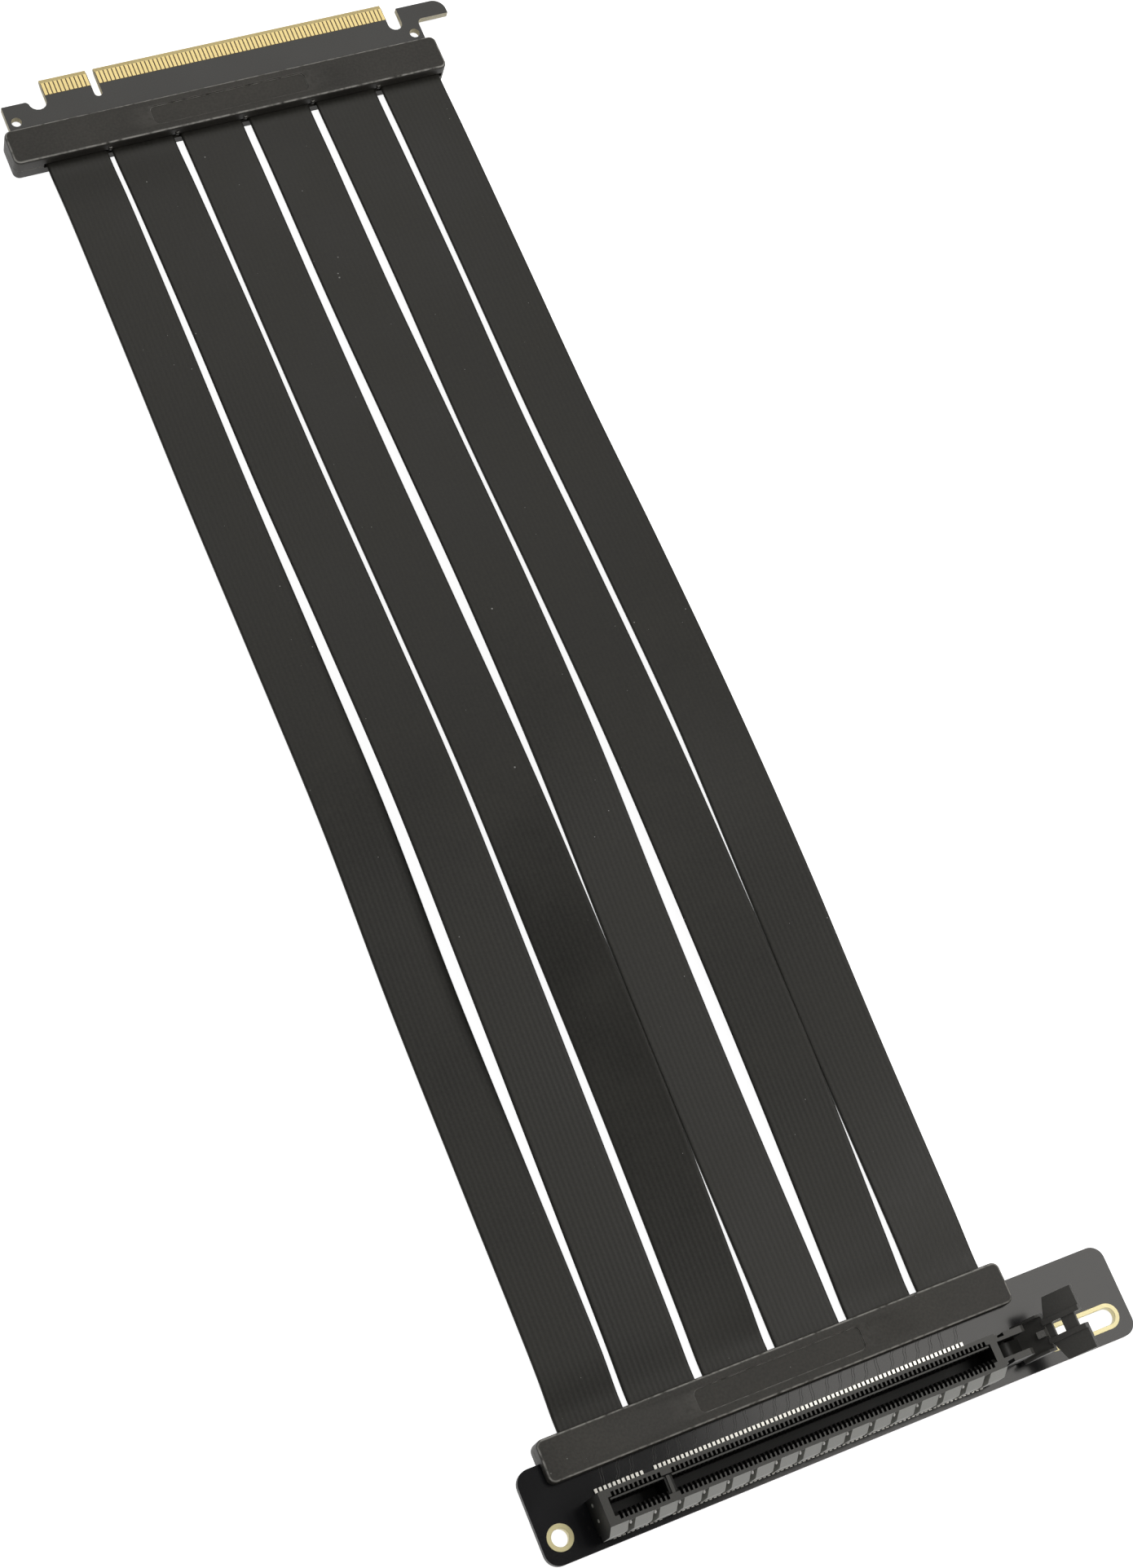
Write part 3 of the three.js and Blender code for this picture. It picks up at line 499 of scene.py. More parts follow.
def finish(name, colour, roughness, spread=0.12, grain_scale=3000.0, bump=0.1, dust=0.0,
           metallic=0.0, specular=0.5, rough_spread=0.05, edge_highlight=0.0):
    """A material from the grain, dust and painted edge highlight groups, with its constants
    on the shader.
    """
    material = bpy.data.materials.new(name)
    material.use_nodes = True
    tree = material.node_tree
    shader = tree.nodes["Principled BSDF"]
    shader.inputs["Metallic"].default_value = metallic
    shader.inputs["Specular IOR Level"].default_value = specular
    grain = tree.nodes.new("ShaderNodeGroup")
    grain.node_tree = moulded_grain()
    grain.inputs["Scale"].default_value = grain_scale
    grain.inputs["Tint Low"].default_value = shade(colour, 1 - spread)
    grain.inputs["Tint High"].default_value = shade(colour, 1 + spread)
    grain.inputs["Rough Low"].default_value = roughness - rough_spread
    grain.inputs["Rough High"].default_value = roughness + rough_spread
    colour_out = grain.outputs["Color"]
    for amount, effect, label in ((dust, dust_specks, "Speck Size"), (edge_highlight, painted_edge_highlight, "Amount")):
        if amount > 0:
            layer = tree.nodes.new("ShaderNodeGroup")
            layer.node_tree = effect()
            layer.inputs[label].default_value = amount
            connect(tree, colour_out, layer.inputs["Color"])
            colour_out = layer.outputs["Color"]
    connect(tree, colour_out, shader.inputs["Base Color"])
    connect(tree, grain.outputs["Roughness"], shader.inputs["Roughness"])
    if bump > 0:
        relief = relief_node(tree, grain.outputs["Height"], bump, 0.05 * MM)
        connect(tree, relief, shader.inputs["Normal"])
    return material


def scored(material):
    """Fine uneven lines across the latch's finger plates, as relief."""
    tree = material.node_tree
    shader = tree.nodes["Principled BSDF"]
    old = shader.inputs["Normal"].links[0].from_socket
    stretch = tree.nodes.new("ShaderNodeMapping")
    stretch.inputs["Scale"].default_value = (7000.0, 500.0, 7000.0)
    connect(tree, object_place(tree), stretch.inputs["Vector"])
    lines = noise_node(tree, stretch.outputs["Vector"], 1.0, 2.0)
    connect(tree, relief_node(tree, lines, 0.6, 0.06 * MM, old), shader.inputs["Normal"])


def striped(material, pitch):
    """Faint lines along a ribbon, one to each conductor, darker in the valleys."""
    tree = material.node_tree
    shader = tree.nodes["Principled BSDF"]
    old = shader.inputs["Base Color"].links[0].from_socket
    lay = tree.nodes.new("ShaderNodeUVMap")
    lay.uv_map = "Lay"
    across = split_node(tree, lay.outputs["UV"])["X"]
    turns = math_node(tree, "MULTIPLY", across, 2 * math.pi / pitch)
    tone = range_node(tree, math_node(tree, "COSINE", turns), (-1.0, 1.0), (0.9, 1.04))
    connect(tree, mix_node(tree, 1.0, old, tone, "MULTIPLY"), shader.inputs["Base Color"])


def banded_mask(material, low_y, right_x, colour):
    """Past one place along Y, and left of one along X, bare laminate shows between contacts."""
    tree = material.node_tree
    shader = tree.nodes["Principled BSDF"]
    old = shader.inputs["Base Color"].links[0].from_socket
    place = split_node(tree, object_place(tree))
    past = math_node(tree, "GREATER_THAN", place["Y"], low_y)
    before = math_node(tree, "LESS_THAN", place["X"], right_x)
    both = math_node(tree, "MULTIPLY", past, before)
    connect(tree, mix_node(tree, both, old, colour), shader.inputs["Base Color"])


# Pieces


def cover_piece(name, node, top):
    """A cover half: rounded rings up its wall and over its eased edge, and into the recess."""
    sizes, _, _ = settings()
    low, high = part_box(node)
    front = low.y
    if node == "card_cover_top":
        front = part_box("card_cover_bottom")[0].y
    x, y = (low.x, high.x), (front, high.y)
    edge, corner = sizes.cover_edge, sizes.cover_corner
    seam = 0.12 * MM
    away = 1 if top else -1
    part, far = (low.z, high.z) if top else (high.z, low.z)

    def ring(inset, z):
        return rounded_ring((x[0] + inset, x[1] - inset), (y[0] + inset, y[1] - inset),
                            max(corner - inset, 0.2 * MM), z, 8)

    rings = [ring(seam, part), ring(0, part + away * seam)]
    for angle in np.linspace(0, math.pi / 2, 7):
        rings.append(ring(edge * (1 - math.cos(angle)), far - away * edge * (1 - math.sin(angle))))
    if top:
        depth = sizes.recess_depth
        middle_x, middle_y = (x[0] + x[1]) / 2, (y[0] + y[1]) / 2
        (half_x, half_y), radius, ease = RECESS_HALF, RECESS_CORNER, 0.08 * MM
        for grow, sink in [(ease, 0), (0.3 * ease, 0.3 * ease), (0, ease), (0, depth - ease),
                           (-ease, depth)]:
            rings.append(rounded_ring((middle_x - half_x - grow, middle_x + half_x + grow),
                                      (middle_y - half_y - grow, middle_y + half_y + grow),
                                      radius + grow, far - sink, 8))
    piece = lofted(name, rings, ROOT, flip=not top)
    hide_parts(node)
    return piece


def cut_space(piece, x, y, z):
    """Cuts a plain box out of a piece and keeps the result as its mesh."""
    corners = np.array([[a, b, c] for c in z for b in y for a in x])
    faces = [(0, 2, 3, 1), (4, 5, 7, 6), (0, 1, 5, 4), (2, 6, 7, 3), (0, 4, 6, 2), (1, 3, 7, 5)]
    cutter = mesh_object(piece.name + "_space", corners, faces, ROOT, smooth=False)
    boolean = piece.modifiers.new("Space", "BOOLEAN")
    boolean.operation = "DIFFERENCE"
    boolean.solver = "EXACT"
    boolean.object = cutter
    keep_result(piece)
    bpy.data.objects.remove(cutter)


def keep_result(piece):
    """Takes the modifiers' result as the piece's own mesh."""
    bpy.context.view_layer.update()
    graph = bpy.context.evaluated_depsgraph_get()
    mesh = bpy.data.meshes.new_from_object(piece.evaluated_get(graph), depsgraph=graph)
    piece.modifiers.clear()
    piece.data = mesh


def ribbon_route(index):
    """The ribbon's middle line: a centripetal curve through its places, set over evenly."""
    socket_x, card_x, _, heights, _ = RIBBONS[index]
    socket_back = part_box("socket_cover_bottom")[1].y - ZERO_Y
    card_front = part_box("card_cover_bottom")[0].y - ZERO_Y
    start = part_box("socket_board")[1].y - ZERO_Y
    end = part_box("card_board")[0].y - ZERO_Y
    straight, level = RIBBON_STRAIGHT, MIDDLE_Z
    places = [(start, level), (socket_back, level), (socket_back + straight, level)]
    places += [(y * MM, z * MM) for y, z in zip(RIBBON_PLACES, heights)]
    places += [(card_front - straight, level), (card_front, level), (end, level)]
    points = centripetal(np.array(places), 20)
    drift = (card_x - socket_x) * MM / (end - start)
    x = socket_x * MM + drift * (points[:, 0] - start)
    return np.stack([ZERO_X + x, ZERO_Y + points[:, 0], points[:, 1]], -1)


def centripetal(places, steps):
    """Catmull-Rom through all places, its knots spaced by the root of each gap."""
    first, last = 2 * places[0] - places[1], 2 * places[-1] - places[-2]
    p = np.concatenate([[first], places, [last]])
    gaps = np.sqrt(np.linalg.norm(np.diff(p, axis=0), axis=1))
    knots = np.concatenate([[0], np.cumsum(gaps)])
    t0, t1, t2, t3 = (knots[i:len(knots) - 3 + i, None, None] for i in range(4))
    p0, p1, p2, p3 = (p[i:len(p) - 3 + i, None, :] for i in range(4))
    t = t1 + (t2 - t1) * np.linspace(0, 1, steps, endpoint=False)[None, :, None]
    a1 = (t1 - t) / (t1 - t0) * p0 + (t - t0) / (t1 - t0) * p1
    a2 = (t2 - t) / (t2 - t1) * p1 + (t - t1) / (t2 - t1) * p2
    a3 = (t3 - t) / (t3 - t2) * p2 + (t - t2) / (t3 - t2) * p3
    b1 = (t2 - t) / (t2 - t0) * a1 + (t - t0) / (t2 - t0) * a2
    b2 = (t3 - t) / (t3 - t1) * a2 + (t - t1) / (t3 - t1) * a3
    curve = (t2 - t) / (t2 - t1) * b1 + (t - t1) / (t2 - t1) * b2
    return np.concatenate([curve.reshape(-1, 2), places[-1:]])


def ribbon_section(width, thickness, pitch, height):
    """Across a ribbon: ridges as a cosine on both faces, and half-round edges."""
    flutes = round((width - thickness) / pitch)
    across = np.linspace(-1, 1, flutes * 4 + 1) * (width - thickness) / 2
    ridge = height * 0.5 * (np.cos(2 * math.pi * across / pitch) - 1)
    upper = np.stack([across, thickness / 2 + ridge], -1)
    turn = np.linspace(math.pi / 2, -math.pi / 2, 9)[1:-1]
    right = np.stack([(width - thickness) / 2 + thickness / 2 * np.cos(turn),
                      thickness / 2 * np.sin(turn)], -1)
    sparse = across[::-2]
    lower = np.stack([sparse, np.full_like(sparse, -thickness / 2)], -1)
    return np.concatenate([upper, right, lower, right[::-1] * [-1, 1]])


def ribbon_piece(index, material):
    """One ribbon: its section carried square to its route, and rolled by its smoothed twist."""
    sizes, _, _ = settings()
    route = ribbon_route(index)
    slope = np.gradient(route, axis=0)
    slope /= np.linalg.norm(slope, axis=1)[:, None]
    sides = np.tile([1.0, 0.0, 0.0], (len(route), 1))
    ups = np.cross(sides, slope)
    ups /= np.linalg.norm(ups, axis=1)[:, None]
    _, _, width, _, lifts = RIBBONS[index]
    places = np.array([LEVEL_PLACES[0], *RIBBON_PLACES, LEVEL_PLACES[1]]) * MM
    lift = np.interp(route[:, 1] - ZERO_Y, places, np.array([0.0, *lifts, 0.0]))
    window = np.hanning(21)
    lift = np.convolve(np.pad(lift, 10, mode="edge"), window / window.sum(), "valid")
    roll = np.arctan(lift / width)[:, None]
    sides, ups = (sides * np.cos(roll) + ups * np.sin(roll),
                  ups * np.cos(roll) - sides * np.sin(roll))
    section = ribbon_section(width * MM, RIBBON_THICKNESS, sizes.flute_pitch,
                             sizes.flute_height)
    points = swept(section, route, sides, ups)
    count = len(section)
    faces = capped_faces(len(route), count)
    name = f"ribbon_{index + 1}_jacket"
    piece = mesh_object(name, points.reshape(-1, 3), [f[::-1] for f in faces], ROOT)
    add_uv(piece.data, np.tile(section[:, 0], len(route)),
           np.repeat(np.cumsum(np.r_[0, np.linalg.norm(np.diff(route, axis=0), axis=1)]), count))
    piece.data.materials.append(material)
    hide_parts(f"ribbon_{index + 1}")
    return piece


def plating_piece(name, node, middles, material):
    """A plated hole: its wall and two rings as one rounded section, carried round the slot."""
    low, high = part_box(node)
    outer, inner, middle_y = HOLE_OUTER, HOLE_INNER, ZERO_Y + HOLE_Y
    ease = 0.06 * MM
    section = [(inner, low.z + ease), (inner + ease, low.z), (outer - ease, low.z),
               (outer, low.z + ease), (outer, BOARD_BOTTOM), (inner + 0.2 * MM, BOARD_BOTTOM),
               (inner + 0.2 * MM, BOARD_TOP), (outer, BOARD_TOP), (outer, high.z - ease),
               (outer - ease, high.z), (inner + ease, high.z), (inner, high.z - ease)]
    section = np.array(section)
    half = np.linspace(-math.pi / 2, math.pi / 2, 33)
    turn = np.concatenate([half, half + math.pi])
    centre_x = ZERO_X + np.repeat([middles[1], middles[0]], len(half))
    out = np.stack([np.cos(turn), np.sin(turn)], -1)
    x = centre_x[:, None] + out[:, 0, None] * section[None, :, 0]
    y = middle_y + out[:, 1, None] * section[None, :, 0]
    z = np.broadcast_to(section[None, :, 1], x.shape)
    points = np.stack([x, y, z], -1).reshape(-1, 3)
    faces = grid_faces(len(turn), len(section), True, True)
    piece = mesh_object(name, points, faces, ROOT)
    merge_doubles(piece)
    soft_edges(piece, 35)
    piece.data.materials.append(material)
    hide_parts(node)
    return piece


def merge_doubles(piece):
    """Joins points that lie on each other and turns all faces outwards."""
    work = bmesh.new()
    work.from_mesh(piece.data)
    bmesh.ops.remove_doubles(work, verts=work.verts, dist=1e-7)
    bmesh.ops.recalc_face_normals(work, faces=work.faces)
    work.to_mesh(piece.data)
    work.free()


def soft_edges(piece, degrees):
    """Smooth shading that stops at edges sharper than the angle."""
    piece.data.polygons.foreach_set("use_smooth", np.full(len(piece.data.polygons), True))
    piece.data.set_sharp_from_angle(angle=math.radians(degrees))


# Operators


class RISER_OT_stage(bpy.types.Operator):
    """Sets up the camera, the pale floor, the lamps and the world."""

    bl_idname = "riser.stage"
    bl_label = "Stage"

    def execute(self, context):
        _, _, stage = settings()
        scene = context.scene
        scene.view_settings.view_transform = "Standard"
        camera_data = bpy.data.cameras.new("Camera")
        camera_data.sensor_fit = "HORIZONTAL"
        camera_data.sensor_width = 36.0
        camera_data.lens = CAMERA_LENS
        camera_data.clip_end = 20.0
        camera = bpy.data.objects.new("Camera", camera_data)
        scene.collection.objects.link(camera)
        camera.location = (ZERO_X + CAMERA_PLACE[0], ZERO_Y + CAMERA_PLACE[1], CAMERA_PLACE[2])
        camera.rotation_euler = tuple(math.radians(angle) for angle in CAMERA_TURN)
        scene.camera = camera
        size = stage.floor_size / 2
        corners = np.array([[-size, -size, 0], [size, -size, 0], [size, size, 0], [-size, size, 0]])
        mesh = bpy.data.meshes.new("floor")
        mesh.from_pydata(corners.tolist(), [], [(0, 1, 2, 3)])
        floor = bpy.data.objects.new("floor", mesh)
        scene.collection.objects.link(floor)
        floor.location = (0, 0, CAD_BOUNDS[0][2])
        mesh.materials.append(self.paper(stage))
        world = bpy.data.worlds.new("Studio")
        scene.world = world
        world.use_nodes = True
        world.node_tree.nodes["Background"].inputs["Color"].default_value = (1, 1, 1, 1)
        world.node_tree.nodes["Background"].inputs["Strength"].default_value = 0.12
        self.lamp("Key", (0.40, -0.12, 0.70), (0.40, -0.12, 0.0), 0.40, stage.key_power, True)
        self.lamp("Back", (0.25, 0.64, 0.72), (0.25, 0.64, 0.0), 0.55, stage.back_power, True)
        self.lamp("Fill", (0.0, 0.0, 1.6), (0.0, 0.0, 0.0), 1.6, stage.fill_power, False)
        return {"FINISHED"}

    def paper(self, stage):
        """Pale paper that glows where it is seen straight or in a reflection, so that it shows
        white and still keeps a faint shadow."""
        paper = bpy.data.materials.new("Pale Floor")
        paper.use_nodes = True
        tree = paper.node_tree
        shader = tree.nodes["Principled BSDF"]
        shader.inputs["Base Color"].default_value = (0.9, 0.9, 0.9, 1)
        shader.inputs["Roughness"].default_value = 1.0
        shader.inputs["Specular IOR Level"].default_value = 0.0
        shader.inputs["Emission Color"].default_value = (1, 1, 1, 1)
        rays = tree.nodes.new("ShaderNodeLightPath").outputs
        seen = math_node(tree, "MAXIMUM", rays["Is Camera Ray"], rays["Is Glossy Ray"])
        either = math_node(tree, "MAXIMUM", seen, rays["Is Transmission Ray"])
        glow = math_node(tree, "MULTIPLY", either, stage.floor_glow)
        connect(tree, glow, shader.inputs["Emission Strength"])
        return paper

    def lamp(self, name, place, aim, size, power, reflected):
        """A square lamp that faces its aim: warm where reflections show it, else plain white."""
        data = bpy.data.lights.new(name, "AREA")
        data.size = size
        data.energy = power
        data.color = (1.0, 0.975, 0.93) if reflected else (1.0, 1.0, 1.0)
        lamp = bpy.data.objects.new(name, data)
        bpy.context.scene.collection.objects.link(lamp)
        lamp.visible_glossy = reflected
        lamp.location = place
        direction = np.array(aim) - np.array(place)
        direction /= np.linalg.norm(direction)
        lamp.rotation_euler = (0, math.acos(-direction[2]),
                               math.atan2(-direction[1], -direction[0]))


class RISER_OT_covers(bpy.types.Operator):
    """Makes the two halves of both covers, with the ribbons' slot and the bare recess."""

    bl_idname = "riser.covers"
    bl_label = "Covers"

    def execute(self, context):
        _, colours, _ = settings()
        # The covers get the painted edge highlight along their upper eased edges.
        material = finish("Cover Plastic", colours.cover, 0.55, spread=0.34, grain_scale=1700.0,
                          bump=0.5, dust=0.06, edge_highlight=1.0)
        for end in ("socket", "card"):
            for half in ("top", "bottom"):
                node = f"{end}_cover_{half}"
                piece = cover_piece(node + "_shell", node, half == "top")
                self.cut_slot(piece, end)
                soft_edges(piece, 30)
                piece.data.materials.append(material)
        nubs = self.gap_nubs()
        nubs.data.materials.append(material)
        return {"FINISHED"}

    def gap_nubs(self):
        """Five small rounded nubs on the card cover's front, one over each gap."""
        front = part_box("card_cover_bottom")[0].y
        points, faces = [], []
        for left, right in zip(RIBBONS, RIBBONS[1:]):
            middle = ZERO_X + (left[1] + right[1]) / 2 * MM
            rings = [rounded_ring((middle - half, middle + half),
                                  (front - half * 0.9, front + half * 0.9), half * 0.85, z, 6)
                     for half, z in [(0.40 * MM, 4.0 * MM), (0.48 * MM, 4.1 * MM),
                                     (0.50 * MM, 4.5 * MM), (0.42 * MM, 4.8 * MM),
                                     (0.22 * MM, 4.95 * MM)]]
            faces += capped_faces(len(rings), len(rings[0]), sum(len(p) for p in points))
            points.append(np.concatenate(rings))
        piece = mesh_object("card_cover_nubs", np.concatenate(points), faces, ROOT)
        return piece

    def cut_slot(self, piece, end):
        """Opens the flat slot through which the ribbons leave the cover."""
        low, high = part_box(f"{end}_cover_bottom")
        first = min(RIBBONS[0][0], RIBBONS[0][1])
        last = max(RIBBONS[-1][0], RIBBONS[-1][1])
        x = (ZERO_X + first * MM - SLOT_SPARE, ZERO_X + last * MM + SLOT_SPARE)
        wall = high.y if end == "socket" else low.y
        y = (wall - SLOT_DEPTH, wall + SLOT_DEPTH)
        cut_space(piece, x, y, (MIDDLE_Z - SLOT_HALF_HEIGHT, MIDDLE_Z + SLOT_HALF_HEIGHT))


class RISER_OT_ribbons(bpy.types.Operator):
    """Makes the six ribbons along their routes."""

    bl_idname = "riser.ribbons"
    bl_label = "Ribbons"

    def execute(self, context):
        sizes, colours, _ = settings()
        material = finish("Ribbon Jacket", colours.ribbon, 0.46, spread=0.3, grain_scale=1800.0,
                          bump=0.15, dust=0.075)
        striped(material, sizes.flute_pitch)
        for index in range(len(RIBBONS)):
            ribbon_piece(index, material)
        return {"FINISHED"}


class RISER_OT_boards(bpy.types.Operator):
    """Gives both boards their solder mask, bare edges, gold contacts and platings."""

    bl_idname = "riser.boards"
    bl_label = "Boards"

    def execute(self, context):
        _, colours, _ = settings()
        mask = finish("Solder Mask", colours.mask, 0.16, spread=0.25, bump=0.0, dust=0.045,
                      rough_spread=0.03)
        card_mask = finish("Card Solder Mask", (0.05, 0.05, 0.048), 0.35, spread=0.15, bump=0.05,
                           dust=0.05)
        banded_mask(card_mask, ZERO_Y + CARD_EDGE_Y - FINGER_BAND, ZERO_X + TONGUE_RIGHT,
                    (0.12, 0.07, 0.025, 1))
        laminate = finish("Laminate Edge", colours.laminate, 0.6, spread=0.2, bump=0.2)
        dark_edge = finish("Masked Edge", (0.03, 0.03, 0.028), 0.5)
        bevel = finish("Bevelled Laminate", (0.90, 0.72, 0.34), 0.5, spread=0.15)
        gold = finish("Contact Gold", colours.gold, 0.34, spread=0.1, metallic=0.75, bump=0.05)
        self.socket_board(mask, dark_edge)
        # The traces are paler than the mask: a painted highlight along them.
        self.traces(finish("Masked Traces Painted Highlight", (0.09, 0.09, 0.085), 0.4, spread=0.1, specular=0.4))
        self.card_board(card_mask, laminate, bevel, gold)
        # Brighter and less metallic than the contacts' gold, so the rings show bright: a painted
        # reflection.
        ring = finish("Hole Plating Painted Reflection", (1.0, 0.9, 0.5), 0.35, spread=0.0, metallic=0.25, bump=0.05)
        plating_piece("round_hole_ring", "round_hole_plating", ROUND_HOLE_X, ring)
        plating_piece("slot_hole_ring", "slot_hole_plating", SLOT_HOLE_X, ring)
        return {"FINISHED"}

    def socket_board(self, mask, edge):
        """The socket's board: mask on both faces and a dull edge."""
        piece = node_copy("socket_board_masked", "socket_board", ROOT)
        piece.data.materials.append(mask)
        piece.data.materials.append(edge)
        _, normals = face_arrays(piece.data)
        wall = np.abs(normals[:, 2]) < 0.5
        piece.data.polygons.foreach_set("material_index", wall.astype(np.int32))

    def traces(self, material):
        """Pairs of thin raised traces, made up in the manner of such boards: each pair bends
        sideways by half a cosine on its way from the tails to the cover."""
        along = np.linspace(0, 1, 17)
        y = (5.4 + 3.4 * along) * MM
        bend = 1.8 * (0.5 - 0.5 * np.cos(math.pi * along)) + 0.4 * np.sin(2 * math.pi * along)
        base = np.full(len(along), BOARD_TOP - 0.02 * MM)
        points, faces = [], []
        for k, x in enumerate(contact_places(0)[2::3]):
            for side in (-0.26, 0.26):
                middle = x + side * MM + bend * (1 if k % 5 else 0.4) * MM
                low = np.stack([middle - 0.06 * MM, ZERO_Y + y, base], -1)
                high = low + [0.02 * MM, 0, 0.06 * MM]
                rail = np.stack([low, high, high + [0.08 * MM, 0, 0], low + [0.12 * MM, 0, 0]], 1)
                faces += capped_faces(len(along), 4, len(points) * len(along) * 4)
                points.append(rail.reshape(-1, 3))
        piece = mesh_object("socket_board_traces", np.concatenate(points), faces, ROOT)
        merge_doubles(piece)
        piece.data.materials.append(material)

    def card_board(self, mask, laminate, bevel, gold):
        """The card-edge board: mask, pale edges, the bevel at its tip and the raised contacts."""
        piece = node_copy("card_board_masked", "card_board", ROOT)
        for material in (mask, laminate, bevel, gold):
            piece.data.materials.append(material)
        centres, normals = face_arrays(piece.data)
        index = np.zeros(len(centres), np.int32)
        index[np.abs(normals[:, 2]) < 0.5] = 1
        slanted = (normals[:, 1] > 0.1) & (np.abs(normals[:, 2]) > 0.5)
        index[slanted] = 2
        proud = 0.01 * MM
        raised = (centres[:, 2] > BOARD_TOP + proud) | (centres[:, 2] < BOARD_BOTTOM - proud)
        index[raised] = 3
        piece.data.polygons.foreach_set("material_index", index)


class RISER_OT_socket(bpy.types.Operator):
    """Gives the socket its moulded finish, its tinned tails, painted shade in its pocket, cage
    and left end, and front ribs in a pale colour that paints a reflection.
    """

    bl_idname = "riser.socket"
    bl_label = "Socket"

    def execute(self, context):
        _, colours, _ = settings()
        piece = node_copy("socket_moulding", "socket_housing", ROOT)
        body = finish("Socket Plastic", colours.socket, 0.42, spread=0.12, bump=0.25)
        # A pale copy of the socket plastic that paints the reflection on the front faces.
        rib = finish("Rib Painted Reflection", colours.rib, 0.45, spread=0.08, bump=0.2)
        tin = finish("Tinned Tails", (0.86, 0.85, 0.80), 0.35, spread=0.08, metallic=0.9, bump=0.1)
        # Painted shade: near black for the pocket, the cage beside the latch and the left end wall
        painted_shade = finish("Socket Painted Shade", (0.012, 0.012, 0.011), 0.5, spread=0.2)
        for material in (body, rib, tin, painted_shade):
            piece.data.materials.append(material)
        centres, normals = face_arrays(piece.data)
        y = centres[:, 1] - ZERO_Y
        z = centres[:, 2]
        index = np.zeros(len(centres), np.int32)
        # Front faces above the board: painted reflection.
        index[(y < -3.52 * MM) & (z > BOARD_TOP + 1.5 * MM)] = 1
        tails = (np.abs(y) > 3.45 * MM) & (z < BOARD_TOP + 0.6 * MM) & (
            centres[:, 0] < ZERO_X + 44 * MM)
        index[tails] = 2
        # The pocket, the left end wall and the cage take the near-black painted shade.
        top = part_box("socket_housing")[1].z
        shaded_pocket = (np.abs(y) < 2.78 * MM) & (z < top - 0.02 * MM) & (
            centres[:, 0] < ZERO_X + 43 * MM) & (centres[:, 0] > ZERO_X - 43 * MM)
        index[shaded_pocket] = 3
        index[(normals[:, 0] < -0.9) & (centres[:, 0] < ZERO_X - 44 * MM)] = 3
        cage = (centres[:, 0] > ZERO_X + 44.5 * MM) & (np.abs(y) < 3.0 * MM) & (z < top - 1.0 * MM)
        index[cage] = 3
        piece.data.polygons.foreach_set("material_index", index)
        self.pocket_walls(body)
        self.front_beads(finish("Bright Bead", (0.95, 0.94, 0.9), 0.3, spread=0.03))
        # The end ovals take the same pale material, with its painted reflection.
        self.end_marks(rib)
        return {"FINISHED"}

    def pocket_walls(self, material):
        """Two thin walls beside the back row of cavities and a slim bar on the key rib."""
        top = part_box("socket_housing")[1].z
        back = (1.32, 1.66)
        for name, x, y in (("short", (-42.3, -30.9), back), ("long", (-29.1, 42.3), back),
                           ("key", (-30.35, -29.65), (-2.4, 1.66))):
            x = [ZERO_X + value * MM for value in x]
            y = [ZERO_Y + value * MM for value in y]
            rings = [rounded_ring(x, y, 0.1 * MM, z, 3)
                     for z in (top - 3.0 * MM, top - 0.08 * MM, top - 0.03 * MM)]
            piece = lofted(f"socket_lip_{name}", rings, ROOT)
            soft_edges(piece, 40)
            piece.data.materials.append(material)

    def front_beads(self, material):
        """A small bright bead high in each of the first gaps between the front ribs, where the
        picture has a bright spot. What shines there isn't known."""
        across = np.linspace(0, 2 * math.pi, 13)[:-1]
        up = np.linspace(-math.pi / 2, math.pi / 2, 7)
        turn, rise = np.meshgrid(across, up, indexing="ij")
        bead = np.stack([0.30 * MM * np.cos(rise) * np.cos(turn),
                         0.45 * MM * np.cos(rise) * np.sin(turn), 0.5 * MM * np.sin(rise)], -1)
        grid = grid_faces(len(across), len(up), closed_rows=True)
        pitch = (2 * SOCKET_END + RIB_GAP) / RIB_COUNT
        number = np.arange(BEAD_COUNT)
        gap_x = -SOCKET_END + pitch * (number + 1) - RIB_GAP / 2
        places = np.stack([ZERO_X + gap_x - 0.2 * MM, np.full(BEAD_COUNT, ZERO_Y - 3.7 * MM),
                           np.full(BEAD_COUNT, BOARD_TOP + 9.8 * MM)], -1)
        points = (places[:, None, None, :] + bead).reshape(-1, 3)
        faces = np.concatenate([grid + i * turn.size for i in number])
        piece = mesh_object("front_glints", points, faces, ROOT)
        merge_doubles(piece)
        piece.data.materials.append(material)

    def end_marks(self, material):
        """Two dull ovals that stand a little out of the socket's left end."""
        left = ZERO_X - SOCKET_END
        turn = np.linspace(0, 2 * math.pi, 25)[:-1]
        for name, y in (("back", 2.0), ("front", -1.1)):
            rings = [np.stack([np.full_like(turn, left + x * MM),
                               ZERO_Y + y * MM + grow * 0.40 * MM * np.cos(turn),
                               BOARD_TOP + 4.4 * MM + grow * 0.65 * MM * np.sin(turn)], -1)
                     for x, grow in ((0.2, 1.0), (-0.03, 1.0), (-0.06, 0.85))]
            piece = lofted(f"socket_end_mark_{name}", rings, ROOT, flip=True)
            piece.data.materials.append(material)


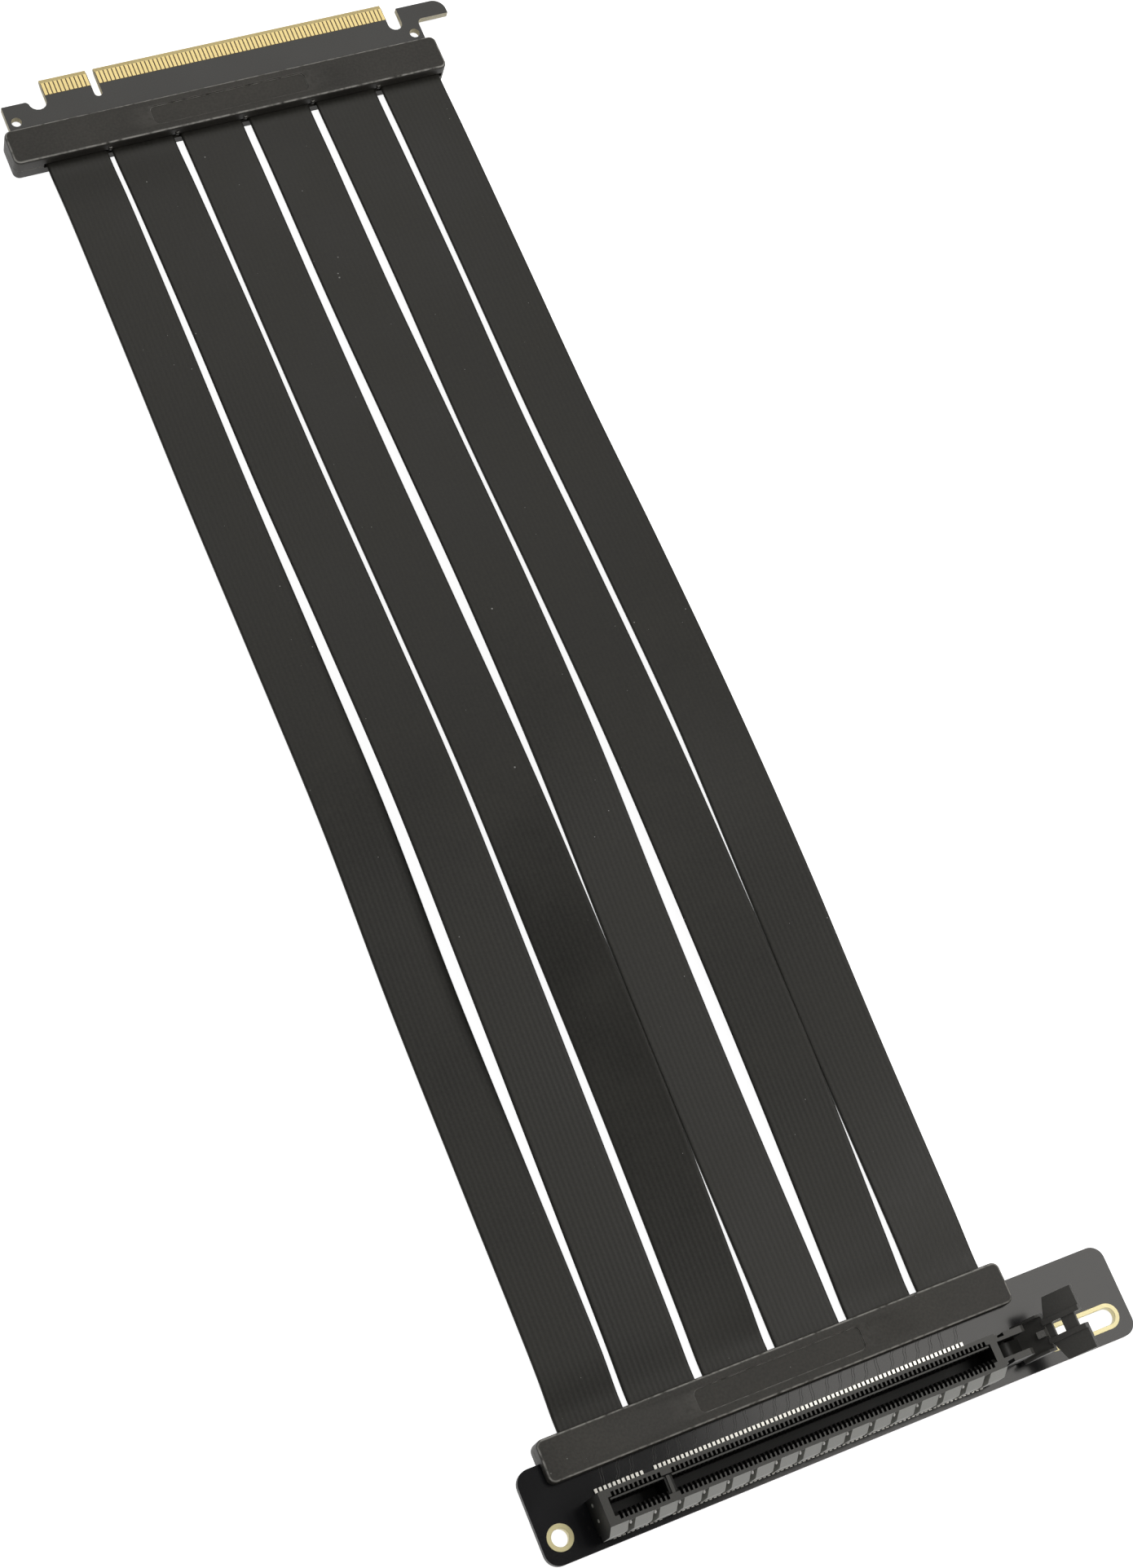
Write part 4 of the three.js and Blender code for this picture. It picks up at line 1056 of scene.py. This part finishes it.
class RISER_OT_latch(bpy.types.Operator):
    """Gives the retention latch its eased edges and moulded finish, and painted shade where it
    sits in the cage.
    """

    bl_idname = "riser.latch"
    bl_label = "Latch"

    def execute(self, context):
        _, colours, _ = settings()
        piece = node_copy("latch_lever", "retention_latch", LATCH)
        material = finish("Latch Plastic", colours.latch, 0.4, spread=0.12, bump=0.3)
        scored(material)
        piece.data.materials.append(material)
        # Painted shade: the part of the latch within the cage is near black.
        piece.data.materials.append(finish("Latch Painted Shade", (0.02, 0.02, 0.018), 0.45, spread=0.2))
        centres, _ = face_arrays(piece.data)
        inner = centres[:, 0] < ZERO_X + 51.6 * MM
        piece.data.polygons.foreach_set("material_index", inner.astype(np.int32))
        soften(piece, 0.12 * MM)
        return {"FINISHED"}


class RISER_PT_sidebar(bpy.types.Panel):
    """Lists the pieces and their sizes and colours."""

    bl_idname = "RISER_PT_sidebar"
    bl_label = "Ribbon Riser"
    bl_space_type = "VIEW_3D"
    bl_region_type = "UI"
    bl_category = "Ribbon Riser"

    def draw(self, context):
        layout = self.layout
        for operator in PIECES:
            layout.operator(operator.bl_idname, text=operator.bl_label)
        for group in settings():
            box = layout.box()
            for name in group.bl_rna.properties.keys():
                if name not in ("rna_type", "name"):
                    box.prop(group, name)


GROUPS = (RiserSizes, RiserColours, StageSettings)
PIECES = (RISER_OT_stage, RISER_OT_covers, RISER_OT_ribbons, RISER_OT_boards, RISER_OT_socket,
          RISER_OT_latch)


def register():
    for item in GROUPS + PIECES + (RISER_PT_sidebar,):
        bpy.utils.register_class(item)
    bpy.types.Scene.riser_sizes = bpy.props.PointerProperty(type=RiserSizes)
    bpy.types.Scene.riser_colours = bpy.props.PointerProperty(type=RiserColours)
    bpy.types.Scene.riser_stage = bpy.props.PointerProperty(type=StageSettings)


def unregister():
    del bpy.types.Scene.riser_stage
    del bpy.types.Scene.riser_colours
    del bpy.types.Scene.riser_sizes
    for item in reversed(GROUPS + PIECES + (RISER_PT_sidebar,)):
        bpy.utils.unregister_class(item)


def main():
    register()
    for operator in PIECES:
        name = operator.bl_idname.split(".")[1]
        getattr(bpy.ops.riser, name)()


if __name__ == "__main__":
    main()
